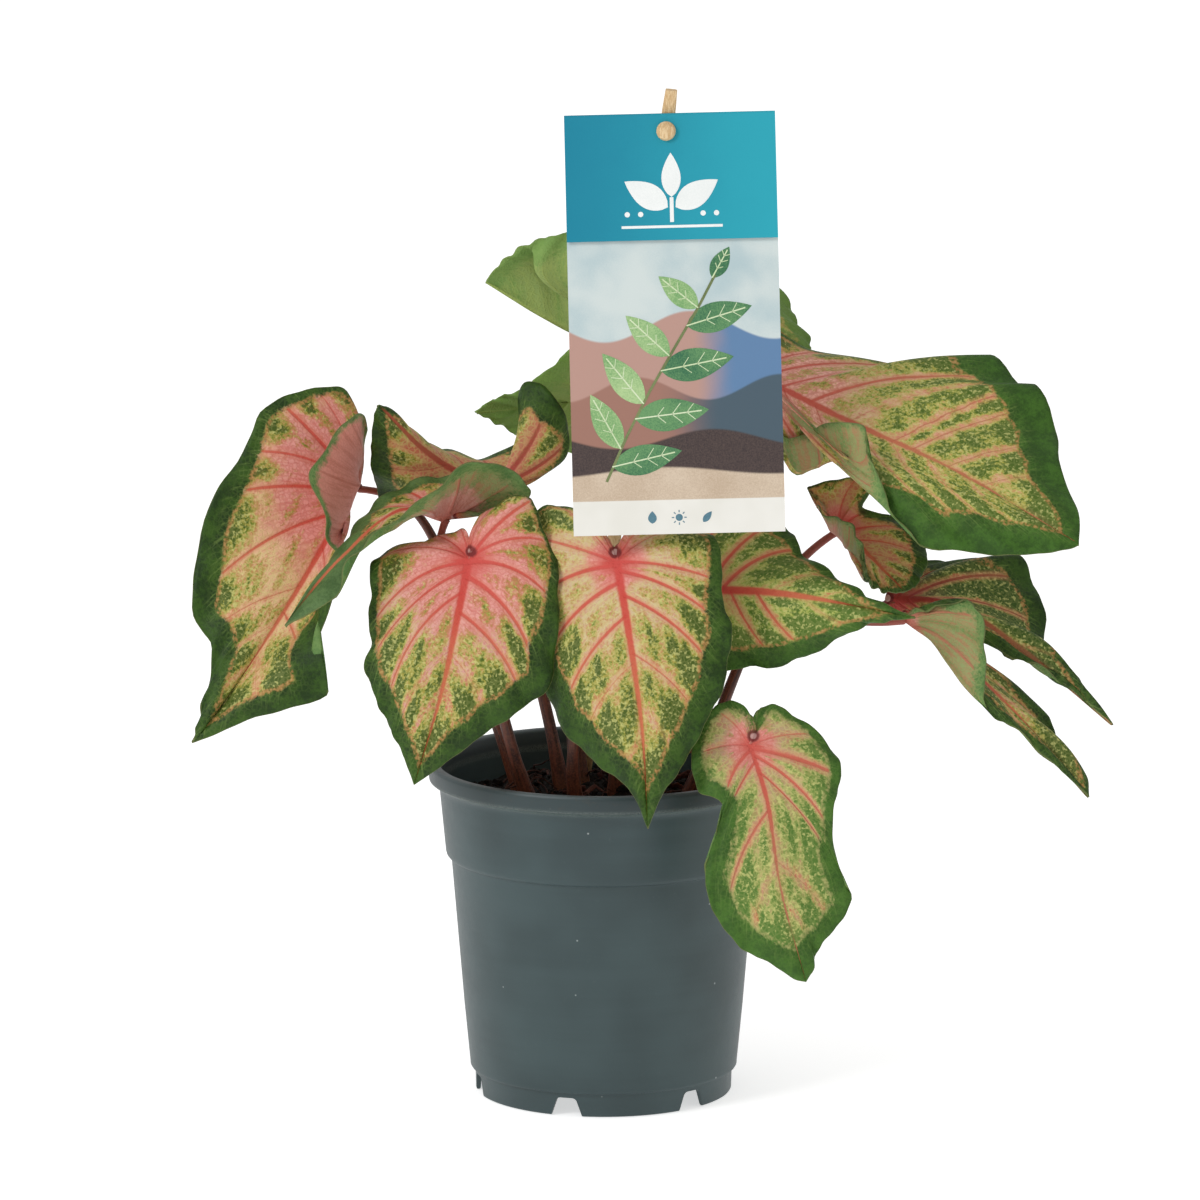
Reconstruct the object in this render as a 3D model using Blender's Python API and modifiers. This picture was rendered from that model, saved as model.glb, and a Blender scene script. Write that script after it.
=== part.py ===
"""A potted caladium: heart-shaped leaves on long stems, rising from a tuber in a nursery pot,
with a plain plant label on a bamboo stick. Sizes are in mm in this file and the scene is in
metres, +Z up. The pot stands on z = 0 and the side that faces the viewer is towards -Y."""

import math

import bmesh
import bpy
import numpy as np
from mathutils import Matrix, Vector

MM = 0.001
TOUCH = 0.3  # left between pieces that touch

# Pot
RIM_RADIUS = 60.0
POT_HEIGHT = 115.0
LIP_HEIGHT = 6.0
BAND_TOP_RADIUS = 56.4
BAND_FOOT_RADIUS = 54.3
BAND_FOOT_HEIGHT = 83.8
BODY_TOP_RADIUS = 52.5
BODY_FOOT_RADIUS = 46.0
FOOT_RING_RADIUS = 44.3
FOOT_RING_HEIGHT = 8.2
BASE_HEIGHT = 6.9
POT_WALL = 1.3
POT_STEPS = 48
NOTCH_COUNT = 6
NOTCH_FIRST_DEG = 16.8 + 180
NOTCH_TOP_WIDTH = 6.6
NOTCH_FOOT_WIDTH = 10.4
NOTCH_HEIGHT = 6.4
NOTCH_REACH = 5.0  # how far the notch cutters reach to each side of the foot ring
NOTCH_ROUND = 1.2
DRAIN_COUNT = 6
DRAIN_RADIUS = 4.0
DRAIN_CIRCLE = 30.0
SHARP = math.radians(40)  # edges that turn further than this are shaded sharp

# Soil and tuber
SOIL_EDGE_HEIGHT = 100.0
SOIL_MIDDLE_HEIGHT = 106.0
SOIL_STEPS = 32
TUBER_RADIUS = 34.0
TUBER_HALF_HEIGHT = 13.0
TUBER_MIDDLE_HEIGHT = 74.0
SOIL_GAP = 0.5  # between the soil and the pot's wall

# Stems
STEM_BASE_RADIUS = 2.5
STEM_TOP_RADIUS = 1.25
STEM_GAP = 0.8  # under the blade, where the blade is creased
STEM_STRAIGHT = 29.0
STEM_POINTS = 13
STEM_RISE = 0.45  # how far a stem keeps its first direction, as a share of its reach
STEM_SPREAD = 0.016  # lean outwards at the soil for each mm from the middle

# Leaf blades
BLADE_THICKNESS = 0.8
BLADE_COLUMNS = 16
BLADE_ROWS = 4
BLADE_WELD = 0.002  # points of the flat grid that meet at the stem, the notch and the tip

# Label
STICK_WIDTH = 4.6
STICK_DEPTH = 2.4
STICK_FOOT = (-9.0, 36.0, 84.0)
STICK_BACK = 3.3  # from the card's back to the stick's front, at the hole
PEG_RADIUS = 2.6
CARD_WIDTH = 71.0
CARD_HEIGHT = 142.0
FLAP_HEIGHT = 43.0
CARD_THICKNESS = 0.6
CARD_TILT_DEG = 15.5
CARD_ROLL_DEG = -1.4
HOLE_RADIUS = 3.2
HOLE_DROP = 6.0
CARD_MIDDLE = 1.3  # the card's middle, across from its hole
CARD_HOLE_SEEN = (666, 131, -21)  # measured on the photo, as the leaves below are
FOLD_GAP = 0.7  # between the flap and the sheet behind it
FOLD_ROUND = 0.5
STICK_ABOVE_HOLE = 15.5
STICK_EDGE = 0.5
PEG_REACH = 3.6  # how far the peg stands out in front of the card's back
STICK_HOLE_LENGTH = 60.0

# The viewpoint that the reference photo was taken from. Leaf points are measured in its pixels.
VIEW_DISTANCE = 3000.0
VIEW_HEIGHT = 757.0
VIEW_PITCH = math.radians(11.05)
VIEW_FOCAL_PX = 8933.0
VIEW_MIDDLE_PX = 600.0
POT_AXIS_PX = 603.7

# Main veins, counted from the notch round the lobe to the tip: the share of the midrib's length
# at which each leaves it. The first ones all start where the stem meets the blade.
VEIN_STARTS = (0, 0, 0, 0, 0, 0.015, 0.07, 0.17, 0.33, 0.52, 0.74, 1)
VEIN_SAG = 0.07
CREST_SHARE = 2 / 3


def seen(across, down, depth):
    """The place in mm of a point at pixel (across, down), depth mm behind the pot's axis."""
    ahead = np.array([0, math.cos(VIEW_PITCH), -math.sin(VIEW_PITCH)])
    up = np.array([0, math.sin(VIEW_PITCH), math.cos(VIEW_PITCH)])
    eye = np.array([(VIEW_MIDDLE_PX - POT_AXIS_PX) * VIEW_DISTANCE / VIEW_FOCAL_PX,
                    -VIEW_DISTANCE, VIEW_HEIGHT])
    ray = ahead + np.array([1, 0, 0]) * (across - VIEW_MIDDLE_PX) / VIEW_FOCAL_PX
    ray = ray - up * (down - VIEW_MIDDLE_PX) / VIEW_FOCAL_PX
    return eye + ray * (depth - eye[1]) / ray[1]


# The leaves, as measured on the photo: (pixels across, pixels down, mm behind the pot's axis).
# midrib: stem end, one third, two thirds, tip. notch: the bottom of the notch between the lobes.
# first and second: margin points after their vein number, on each half. The first half is on the
# viewer's left on a leaf that hangs down with its upper side to the viewer. crests: where the half
# blade bends over, two thirds of the way to the margin. puff: mm that a half bulges upwards.
# root: where the stem leaves the tuber, in mm from the pot's axis. Where they are given, rise and
# arrive say how far the stem keeps its first direction and what it turns towards under the blade,
# and gap is the room under a blade that is creased there.
LEAVES = {
    "front_left": dict(
        midrib=((469, 560, -46), (456, 625, -54), (441, 695, -60), (414, 785, -64)),
        notch=(474, 547, -44), puff=(2.5, 2.5), root=(-19, -15),
        first={1.3: (458, 529, -36), 2.0: (438, 538, -33), 3.0: (404, 546, -35),
               4: (374, 560, -41), 5: (370, 598, -46), 6: (370, 640, -51), 7: (366, 672, -55),
               8: (379, 705, -58), 9: (392, 732, -61), 10: (404, 757, -63)},
        second={1.3: (484, 515, -36), 2.0: (504, 500, -38), 2.8: (531, 499, -39),
                3.6: (542, 527, -41), 4.4: (555, 556, -43), 5.2: (559, 588, -48),
                6.1: (557, 635, -53), 7: (551, 682, -57), 8: (522, 709, -60), 9: (487, 732, -62),
                10: (447, 762, -64)},
        crests={}),
    "front_centre": dict(
        midrib=((617, 562, -50), (631, 645, -62), (643, 735, -72), (648, 829, -79)),
        notch=(614, 547, -48), puff=(2.5, 2.5), root=(-7, -21),
        first={1.3: (588, 520, -40), 2.6: (549, 505, -32), 3.4: (531, 522, -32),
               4.2: (528, 560, -36), 5.2: (532, 615, -40), 6.2: (541, 665, -47),
               7: (552, 708, -55), 8: (574, 742, -63), 9: (604, 769, -70), 10: (631, 791, -76)},
        second={1.3: (640, 528, -44), 2.0: (668, 530, -41), 2.8: (705, 533, -43),
                3.6: (720, 549, -49), 4.6: (722, 595, -55), 5.4: (731, 625, -59),
                6.2: (729, 660, -63), 7: (721, 692, -67), 8: (702, 730, -71),
                9: (681, 768, -75), 10: (661, 797, -78)},
        crests={}),
    "low_right": dict(
        midrib=((750, 745, -62), (768, 805, -70), (781, 890, -80), (806, 982, -84)),
        notch=(755, 731, -61), puff=(1.5, 1.5), root=(9, -20),
        first={1.0: (751, 713, -60), 1.6: (738, 703, -59), 2.4: (718, 704, -59),
               3.2: (699, 728, -60), 4: (691, 762, -64), 4.8: (700, 792, -68),
               5.5: (722, 805, -72), 6: (716, 832, -74), 6.8: (705, 872, -76),
               7.8: (715, 914, -79), 8.8: (740, 947, -81), 9.8: (772, 964, -83),
               10.5: (794, 979, -84)},
        second={1.0: (759, 710, -58), 1.6: (770, 704, -56), 2.4: (790, 713, -55),
                3.2: (818, 733, -56), 4: (838, 760, -60), 4.8: (840, 786, -65),
                5.3: (834, 801, -68), 6.2: (835, 850, -72), 6.9: (843, 882, -75),
                7.4: (852, 896, -76), 8.2: (840, 922, -78), 9.2: (818, 950, -81),
                10.2: (813, 970, -83)},
        crests={}),
    "centre_right": dict(
        midrib=((700, 590, -30), (765, 592, -37), (835, 602, -43), (916, 618, -48)),
        notch=(688, 588, -28), puff=(2, 2), root=(3, -11),
        first={1.3: (678, 610, -27), 2.6: (684, 645, -27), 4: (708, 668, -30),
               5.2: (745, 668, -34), 6.2: (782, 665, -38), 7.2: (815, 652, -41),
               8.4: (855, 630, -45), 9.4: (880, 622, -47), 10.3: (898, 620, -48)},
        second={1.3: (676, 570, -24), 2.6: (684, 535, -14), 4: (722, 512, -8),
                5.2: (772, 512, -10), 6: (792, 533, -16), 6.8: (801, 551, -22),
                7.8: (828, 571, -32), 8.8: (857, 590, -41), 9.6: (874, 600, -45),
                10.3: (893, 608, -47)},
        crests={}),
    "right_big": dict(
        midrib=((752, 374, 4), (845, 420, -12), (955, 471, -29), (1079, 545, -46)),
        notch=(741, 366, 6), puff=(2, 1), root=(4, 7),
        first={1.3: (757, 398, -2), 2.2: (784, 436, -10), 2.8: (806, 434, -16),
               3.5: (830, 422, -26), 4.2: (861, 426, -36), 4.9: (868, 450, -38),
               5.6: (884, 492, -39), 6.4: (900, 523, -41), 7.2: (926, 548, -43),
               8: (964, 551, -45), 8.8: (1003, 556, -47), 9.6: (1043, 553, -48),
               10.4: (1071, 549, -47)},
        second={1.3: (735, 345, 12), 2.6: (752, 318, 20), 3.8: (792, 340, 28),
                4.6: (842, 358, 31), 5.3: (897, 363, 31), 5.9: (925, 379, 26),
                6.5: (958, 373, 22), 7.1: (992, 358, 18), 7.7: (1022, 384, 8),
                8.1: (1037, 387, 2), 8.8: (1056, 430, -10), 9.5: (1061, 470, -24),
                10.2: (1078, 512, -37)},
        crests={"first": {2.2: (790, 470, -10), 2.8: (808, 467, -14), 3.5: (830, 459, -20),
                          4.2: (846, 456, -28), 4.9: (862, 472, -33)}}),
    "right_small": dict(
        midrib=((838, 529, 8), (860, 548, 0), (884, 572, -6), (904, 592, -10)),
        notch=(833, 521, 9), puff=(0.5, 1), root=(22, -8), arrive=(1.6, 0, 0.3),
        first={1.2: (816, 507, 2), 2.2: (829, 516, -6), 3.4: (848, 522, -12),
               4.6: (859, 540, -15), 5.8: (863, 562, -16), 7: (868, 580, -15),
               8.4: (878, 590, -13), 10: (893, 593, -11)},
        second={1.2: (822, 503, 10), 2.2: (809, 487, 12), 3.0: (838, 479, 16),
                3.8: (866, 479, 18), 4.3: (872, 489, 17), 4.8: (863, 507, 13),
                5.4: (890, 516, 15), 6.4: (921, 533, 10), 7.6: (927, 560, 2),
                8.8: (920, 580, -5), 10: (912, 589, -9)},
        crests={"first": {2.2: (832, 532, 0), 3.4: (846, 547, -5), 4.6: (857, 561, -9),
                          5.8: (866, 580, -12)}}),
    "right_far": dict(
        midrib=((893, 599, 0), (950, 604, -6), (1026, 653, -14), (1113, 725, -12)),
        notch=(885, 598, 1), puff=(1, 2.5), root=(13, 6), gap=1.6, rise=0.75, arrive=(1.6, 0, 0.1),
        first={1.3: (884, 607, 1), 2.6: (896, 620, 0), 4: (922, 622, -3),
               5.5: (954, 622, -8), 6.8: (986, 639, -14), 7.8: (1010, 656, -17),
               8.8: (1036, 665, -18), 9.8: (1070, 688, -15), 10.5: (1092, 706, -13)},
        second={1.3: (892, 580, 6), 2.6: (908, 562, 14), 3.8: (945, 562, 22),
                5: (990, 560, 24), 5.8: (1020, 558, 21), 6.6: (1036, 588, 14),
                7.4: (1046, 622, 6), 8.2: (1045, 652, -4), 8.8: (1063, 660, -10),
                9.5: (1078, 680, -12), 10.3: (1097, 705, -12)},
        crests={}),
    "right_low": dict(
        midrib=((905, 618, -20), (948, 650, -26), (1006, 705, -34), (1089, 797, -40)),
        notch=(899, 614, -19), puff=(1.5, 1.5), root=(14, -3), rise=0.75, arrive=(3, 0, -0.3),
        first={1.3: (912, 611, -23), 2.6: (936, 608, -28), 3.8: (966, 601, -33),
               4.8: (980, 614, -37), 5.8: (986, 650, -39), 6.6: (984, 690, -40),
               7.4: (990, 714, -41), 8.4: (1012, 727, -42), 9.4: (1046, 757, -42),
               10.3: (1074, 783, -41)},
        second={1.3: (909, 610, -19), 2.6: (930, 614, -17), 3.8: (958, 624, -15),
                4.8: (978, 645, -14), 5.8: (993, 677, -16), 6.6: (1018, 698, -19),
                7.4: (1045, 711, -22), 8.2: (1055, 735, -26), 9: (1066, 757, -31),
                9.7: (1081, 768, -35), 10.4: (1088, 784, -38)},
        crests={}),
    "mid_left": dict(
        midrib=((446, 519, -24), (400, 511, -34), (344, 556, -50), (285, 626, -64)),
        notch=(455, 514, -23), puff=(1, 1), root=(-20, -6),
        first={1.3: (466, 503, -17), 2.6: (488, 490, -13), 4: (474, 478, -9),
               5.4: (430, 477, -9), 6.4: (398, 488, -13), 7.4: (370, 508, -21),
               8.4: (352, 532, -32), 9.4: (334, 557, -43), 10.3: (308, 590, -56)},
        second={1.2: (474, 511, -27), 2.0: (504, 508, -28), 2.8: (530, 494, -28),
                3.6: (516, 474, -30), 4.4: (482, 461, -36), 5.2: (452, 474, -41),
                6: (425, 499, -47), 6.8: (392, 521, -52), 7.8: (362, 547, -57),
                8.6: (345, 566, -61), 9.4: (335, 598, -65), 10.2: (308, 614, -66)},
        crests={}),
    "left": dict(
        midrib=((358, 487, 0), (307, 575, -20), (253, 660, -36), (192, 743, -48)),
        notch=(357, 470, 1), puff=(3, 1), root=(-22, 4), rise=0.7, arrive=(-3, -1.6, 0),
        first={1.2: (350, 418, 6), 1.9: (343, 389, 6), 2.8: (298, 392, 2), 3.6: (262, 411, -4),
               4.4: (241, 455, -12), 5.2: (208, 508, -20), 6: (194, 575, -27),
               6.7: (194, 618, -32), 7.4: (211, 645, -36), 8.2: (209, 682, -41),
               9: (201, 712, -45), 10: (196, 731, -48)},
        second={1.2: (363, 440, -5), 1.9: (366, 416, -12), 2.7: (344, 422, -22),
                3.3: (328, 449, -29), 3.9: (309, 471, -35), 4.5: (321, 500, -38),
                5.2: (326, 533, -39), 5.9: (338, 556, -41), 6.6: (334, 600, -43),
                7.3: (314, 652, -45), 7.9: (322, 678, -49), 8.3: (328, 694, -50),
                8.9: (292, 708, -50), 9.6: (250, 719, -50), 10.3: (215, 735, -49)},
        crests={"second": {1.9: (364, 440, -6), 2.7: (361, 452, -8), 3.3: (357, 470, -11),
                           3.9: (355, 489, -14), 4.5: (350, 510, -17), 5.2: (342, 530, -22)}}),
    "upper_left": dict(
        midrib=((496, 487, 0), (456, 471, -6), (418, 445, -12), (378, 405, -16)),
        notch=(506, 484, 1), puff=(2, 2), root=(-11, -1), gap=2,
        first={1.3: (538, 478, 6), 2.0: (566, 452, 10), 2.7: (567, 420, 12),
               3.4: (543, 385, 15), 3.9: (525, 383, 18), 4.5: (520, 415, 21),
               5.1: (518, 443, 22), 6: (478, 457, 19), 7: (440, 449, 12),
               8: (420, 442, 4), 9: (401, 426, -4), 10.2: (386, 408, -13)},
        second={1.3: (502, 497, 2), 2.6: (488, 503, 4), 4: (462, 505, 6),
                5.4: (430, 503, 6), 6.4: (400, 502, 3), 7.2: (380, 497, -2),
                8: (373, 474, -8), 9: (371, 445, -13), 10: (374, 416, -16)},
        crests={}),
    "back_left": dict(
        midrib=((598, 396, 50), (557, 402, 42), (517, 408, 32), (475, 412, 20)),
        notch=(607, 396, 51), puff=(-2, -2), root=(-7, 17),
        first={1.3: (614, 410, 52), 2.6: (612, 436, 52), 4: (588, 452, 48),
               5.5: (556, 452, 41), 7: (524, 439, 33), 8.5: (501, 426, 27), 10: (484, 417, 22)},
        second={1.3: (614, 380, 49), 2.6: (612, 352, 46), 4: (588, 340, 42),
                5.4: (562, 357, 37), 6.4: (540, 376, 32), 7.4: (517, 391, 28),
                8.6: (498, 397, 24), 10: (484, 405, 21)},
        crests={}),
    "top_left": dict(
        midrib=((640, 350, 22), (590, 338, 16), (540, 314, 10), (486, 281, 4)),
        notch=(648, 350, 23), puff=(1, 2), root=(-6, 7),
        first={1.3: (660, 335, 31), 2.6: (664, 300, 42), 4: (640, 258, 50),
               5.5: (592, 243, 46), 7: (550, 250, 34), 8.5: (520, 263, 20), 10: (498, 275, 9)},
        second={1.3: (660, 338, 14), 2.6: (664, 305, 5), 4: (640, 245, -4),
                5.5: (585, 232, -7), 7: (543, 238, -6), 8.5: (516, 251, -3), 10: (497, 267, 1)},
        crests={"second": {4: (612, 300, 2), 5.5: (570, 285, -1), 7: (540, 278, -1)}}),
    "top_right": dict(
        midrib=((700, 280, 56), (735, 300, 50), (768, 325, 44), (806, 353, 38)),
        notch=(690, 276, 57), puff=(2, 2), root=(9, 16),
        first={1.3: (682, 292, 52), 2.6: (684, 325, 44), 4: (708, 348, 38),
               5.5: (740, 360, 35), 7: (766, 364, 34), 8.5: (786, 361, 35), 10: (799, 357, 37)},
        second={1.3: (684, 255, 63), 2.6: (698, 228, 70), 4: (735, 232, 72),
                5.3: (768, 268, 66), 6.1: (781, 291, 61), 7: (794, 311, 56),
                7.8: (796, 324, 51), 8.6: (807, 336, 46), 9.4: (811, 346, 42),
                10.3: (809, 352, 39)},
        crests={}),
}


def unit(v):
    return v / np.maximum(np.linalg.norm(v, axis=-1, keepdims=True), 1e-9)


def through(knots, points, at):
    """A smooth curve through points at uneven knots, read at values between the end knots."""
    knots, p = np.asarray(knots, float), np.asarray(points, float)
    step = np.diff(knots)[:, None]
    slope = np.diff(p, axis=0) / step
    tangent = np.vstack([slope[:1], (slope[:-1] * step[1:] + slope[1:] * step[:-1])
                         / (step[1:] + step[:-1]), slope[-1:]])
    at = np.clip(np.asarray(at, float), knots[0], knots[-1])
    i = np.clip(np.searchsorted(knots, at, side="right") - 1, 0, len(knots) - 2)
    t = ((at - knots[i]) / step[i, 0])[..., None]
    a, b = p[i], p[i + 1]
    ta, tb = tangent[i] * step[i], tangent[i + 1] * step[i]
    return (a * (1 + 2 * t) * (1 - t) ** 2 + b * t * t * (3 - 2 * t)
            + ta * t * (1 - t) ** 2 - tb * t * t * (1 - t))


class Blade:
    """The curved surface of one leaf blade. vein counts from the notch to the tip, share goes
    from the midrib to the margin, and side is 1 on the first half and -1 on the second."""

    TIP = len(VEIN_STARTS) - 1
    AT_STEM = 0.01
    LOBE = 3.6  # before this vein, the upward direction stays that of the lobe
    FULL_REACH = 30  # mm from midrib to margin from which a half bulges by its whole puff
    BEND_FADE = 0.9  # veins past the last crest at which the bend has faded out

    def __init__(self, leaf):
        self.midrib = np.array([seen(*p) for p in leaf["midrib"]])
        notch = seen(*leaf["notch"])
        self.rows = {}
        for side, half in ((1, "first"), (-1, "second")):
            knots = [0, *leaf[half], self.TIP]
            points = [notch, *(seen(*p) for p in leaf[half].values()), self.midrib[-1]]
            self.rows[side] = (knots, np.array(points))
        self.puff = {1: leaf["puff"][0], -1: leaf["puff"][1]}
        self.bends = {}
        for side, half in ((1, "first"), (-1, "second")):
            crests = leaf["crests"].get(half)
            if crests:
                knots = np.array(list(crests))
                flat = self.unbent(knots, np.full(len(knots), CREST_SHARE), side)
                shifts = np.array([seen(*p) for p in crests.values()]) - flat
                knots = [0, knots[0] - self.BEND_FADE, *knots,
                         knots[-1] + self.BEND_FADE, self.TIP]
                none = np.zeros((2, 3))
                self.bends[side] = (knots, np.vstack([none, shifts, none]))

    def spine(self, share):
        return through((0, 1 / 3, 2 / 3, 1), self.midrib, share)

    def start_share(self, vein):
        """How far along the midrib a vein starts. Those that start next to the stem start at it."""
        starts = np.array(VEIN_STARTS)[:, None]
        share = np.clip(through(range(self.TIP + 1), starts, vein)[..., 0], 0, 1)
        return np.where(share < self.AT_STEM, 0, share)

    def vein(self, vein, side):
        """Start, end, midrib direction and upward direction of a vein."""
        start = self.spine(self.start_share(vein))
        end = through(*self.rows[side], vein)
        late = np.clip(vein, self.LOBE, self.TIP - 1)
        late_share = self.start_share(late)
        along = unit(self.spine(np.clip(late_share + 0.1, 0, 1))
                     - self.spine(np.clip(late_share - 0.1, 0, 1)))
        out = through(*self.rows[side], late) - self.spine(late_share)
        up = unit(side * np.cross(out, along))
        return start, end, along, up

    def unbent(self, vein, share, side):
        """The surface without its crests: straight veins that sag towards the tip and bulge."""
        start, end, along, up = self.vein(vein, side)
        run = end - start
        share = np.asarray(share)[..., None]
        arch = 4 * share * (1 - share) * np.clip(vein, 0, 1)[..., None]
        sag = -side * np.cross(up, run) * VEIN_SAG
        reach = np.linalg.norm(run, axis=-1, keepdims=True)
        rise = up * self.puff[side] * np.clip(reach / self.FULL_REACH, 0, 1)
        return start + run * share + (sag + rise) * arch

    def at(self, vein, share, side):
        vein, share = np.broadcast_arrays(np.asarray(vein, float), np.asarray(share, float))
        place = self.unbent(vein, share, side)
        if side in self.bends:
            bend = through(*self.bends[side], vein)
            hump = share**2 * (1 - share) / (CREST_SHARE**2 * (1 - CREST_SHARE))
            place = place + bend * hump[..., None]
        return place

    def up_at_stem(self):
        return unit(sum(self.vein(np.array([4.0]), side)[3][0] for side in (1, -1)))


def clear_scene():
    for obj in list(bpy.data.objects):
        bpy.data.objects.remove(obj, do_unlink=True)
    for name in ("caladium", "cutters"):
        bpy.context.scene.collection.children.link(bpy.data.collections.new(name))


def material(name, colour, roughness, metallic=0.0):
    mat = bpy.data.materials.new(name)
    mat.use_nodes = True
    shader = mat.node_tree.nodes["Principled BSDF"]
    shader.inputs["Base Color"].default_value = (*colour, 1)
    shader.inputs["Roughness"].default_value = roughness
    shader.inputs["Metallic"].default_value = metallic
    mat.diffuse_color = (*colour, 1)
    return mat


def add_object(name, data, mat, collection="caladium"):
    obj = bpy.data.objects.new(name, data)
    bpy.data.collections[collection].objects.link(obj)
    if mat:
        data.materials.append(mat)
    return obj


def mesh_in_metres(name, bm):
    """A mesh from a bmesh in mm, shaded smooth but for its sharp edges."""
    bmesh.ops.scale(bm, vec=(MM, MM, MM), verts=bm.verts)
    mesh = bpy.data.meshes.new(name)
    bm.to_mesh(mesh)
    bm.free()
    mesh.shade_smooth()
    mesh.set_sharp_from_angle(angle=SHARP)
    return mesh


def add_mesh(name, bm, mat):
    """A named piece from a bmesh in mm."""
    return add_object(name, mesh_in_metres(name, bm), mat)


def add_helper(name, bm):
    """A mesh that only cuts or joins another one."""
    helper = add_object(name, mesh_in_metres(name, bm), None, "cutters")
    helper.display_type = "WIRE"
    helper.hide_render = True
    return helper


def turned(name, profile, steps, mat):
    """A solid turned round the Z axis from its profile of (radius, height) in mm, from the
    bottom of the axis to the top."""
    bm = bmesh.new()
    verts = [bm.verts.new((r, 0, z)) for r, z in profile]
    for a, b in zip(verts, verts[1:]):
        bm.edges.new((a, b))
    obj = add_mesh(name, bm, mat)
    screw = obj.modifiers.new("Turn", "SCREW")
    screw.steps = screw.render_steps = steps
    screw.use_merge_vertices = True
    screw.merge_threshold = 1e-5
    screw.use_normal_calculate = True
    screw.use_smooth_shade = True
    return obj


def combine(obj, helper, operation):
    boolean = obj.modifiers.new(helper.name, "BOOLEAN")
    boolean.operation = operation
    boolean.solver = "EXACT"
    boolean.object = helper


def cut(obj, cutter):
    combine(obj, cutter, "DIFFERENCE")


def pot_wall_inside(height):
    """The pot's inner radius at a height."""
    if height > BAND_FOOT_HEIGHT:
        top = POT_HEIGHT - LIP_HEIGHT
        t = (height - BAND_FOOT_HEIGHT) / (top - BAND_FOOT_HEIGHT)
        return BAND_FOOT_RADIUS + (BAND_TOP_RADIUS - BAND_FOOT_RADIUS) * t - POT_WALL
    t = (height - FOOT_RING_HEIGHT) / (BAND_FOOT_HEIGHT - FOOT_RING_HEIGHT)
    return BODY_FOOT_RADIUS + (BODY_TOP_RADIUS - BODY_FOOT_RADIUS) * t - POT_WALL


def make_pot(mat):
    top = POT_HEIGHT
    lip_foot = POT_HEIGHT - LIP_HEIGHT
    floor = BASE_HEIGHT + POT_WALL
    inner_foot = FOOT_RING_RADIUS - POT_WALL
    profile = [
        (0, BASE_HEIGHT), (inner_foot - 0.4, BASE_HEIGHT), (inner_foot - 0.5, 0.3),
        (inner_foot - 0.2, 0), (FOOT_RING_RADIUS - 0.7, 0), (FOOT_RING_RADIUS - 0.4, 0.3),
        (FOOT_RING_RADIUS, FOOT_RING_HEIGHT - 0.6),
        (BODY_FOOT_RADIUS - 0.5, FOOT_RING_HEIGHT),
        (BODY_FOOT_RADIUS, FOOT_RING_HEIGHT + 1),
        (BODY_TOP_RADIUS, BAND_FOOT_HEIGHT - 2), (BAND_FOOT_RADIUS - 0.3, BAND_FOOT_HEIGHT),
        (BAND_FOOT_RADIUS, BAND_FOOT_HEIGHT + 1.5), (BAND_TOP_RADIUS, lip_foot - 3.4),
        (BAND_TOP_RADIUS + 1.6, lip_foot - 1), (RIM_RADIUS - 0.5, lip_foot),
        (RIM_RADIUS, lip_foot + 0.8), (RIM_RADIUS, top - 1.2), (RIM_RADIUS - 1.2, top),
        (RIM_RADIUS - 3.2, top), (RIM_RADIUS - 4.0, top - 0.8),
        (pot_wall_inside(lip_foot - 2), lip_foot - 2),
        (pot_wall_inside(BAND_FOOT_HEIGHT + 1), BAND_FOOT_HEIGHT + 1),
        (pot_wall_inside(BAND_FOOT_HEIGHT - 1), BAND_FOOT_HEIGHT - 1),
        (pot_wall_inside(floor + 1), floor + 1),
        (pot_wall_inside(floor + 1) - 1, floor), (0, floor),
    ]
    pot = turned("pot", profile, POT_STEPS, mat)
    for index in range(NOTCH_COUNT):
        turn = math.radians(NOTCH_FIRST_DEG + 360 / NOTCH_COUNT * index)
        cut(pot, notch_cutter(f"notch_cutter_{index}", turn))
    for index in range(DRAIN_COUNT):
        turn = math.radians(NOTCH_FIRST_DEG + 360 / DRAIN_COUNT * (index + 0.5))
        bm = bmesh.new()
        place = Matrix.Translation((DRAIN_CIRCLE * math.sin(turn), DRAIN_CIRCLE * math.cos(turn),
                                    BASE_HEIGHT))
        bmesh.ops.create_cone(bm, cap_ends=True, segments=16, radius1=DRAIN_RADIUS,
                              radius2=DRAIN_RADIUS, depth=6, matrix=place)
        cut(pot, add_helper(f"drain_cutter_{index}", bm))
    return pot


def notch_cutter(name, turn):
    """A wedge that takes a notch out of the foot ring, wider at the bottom."""
    bm = bmesh.new()
    bmesh.ops.create_cube(bm, size=2)
    for v in bm.verts:
        half = NOTCH_TOP_WIDTH / 2 if v.co.z > 0 else NOTCH_FOOT_WIDTH / 2 + 0.6
        v.co = (half * v.co.x, FOOT_RING_RADIUS + NOTCH_REACH * v.co.y,
                NOTCH_HEIGHT if v.co.z > 0 else -1)
    tops = [e for e in bm.edges
            if all(v.co.z > 0 for v in e.verts) and e.verts[0].co.x == e.verts[1].co.x]
    bmesh.ops.bevel(bm, geom=tops, offset=NOTCH_ROUND, segments=2, affect="EDGES", profile=0.5)
    bmesh.ops.rotate(bm, verts=bm.verts, matrix=Matrix.Rotation(-turn, 3, "Z"))
    return add_helper(name, bm)


def tuber_shape(grown):
    """The flattened round tuber in a bmesh, grown by some mm all over."""
    bm = bmesh.new()
    bmesh.ops.create_uvsphere(bm, u_segments=24, v_segments=10, radius=1)
    radius, half_height = TUBER_RADIUS + grown, TUBER_HALF_HEIGHT + grown
    bmesh.ops.scale(bm, vec=(radius, radius, half_height), verts=bm.verts)
    bmesh.ops.translate(bm, vec=(0, 0, TUBER_MIDDLE_HEIGHT), verts=bm.verts)
    return bm


def make_tuber(mat):
    return add_mesh("tuber", tuber_shape(0), mat)


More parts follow.
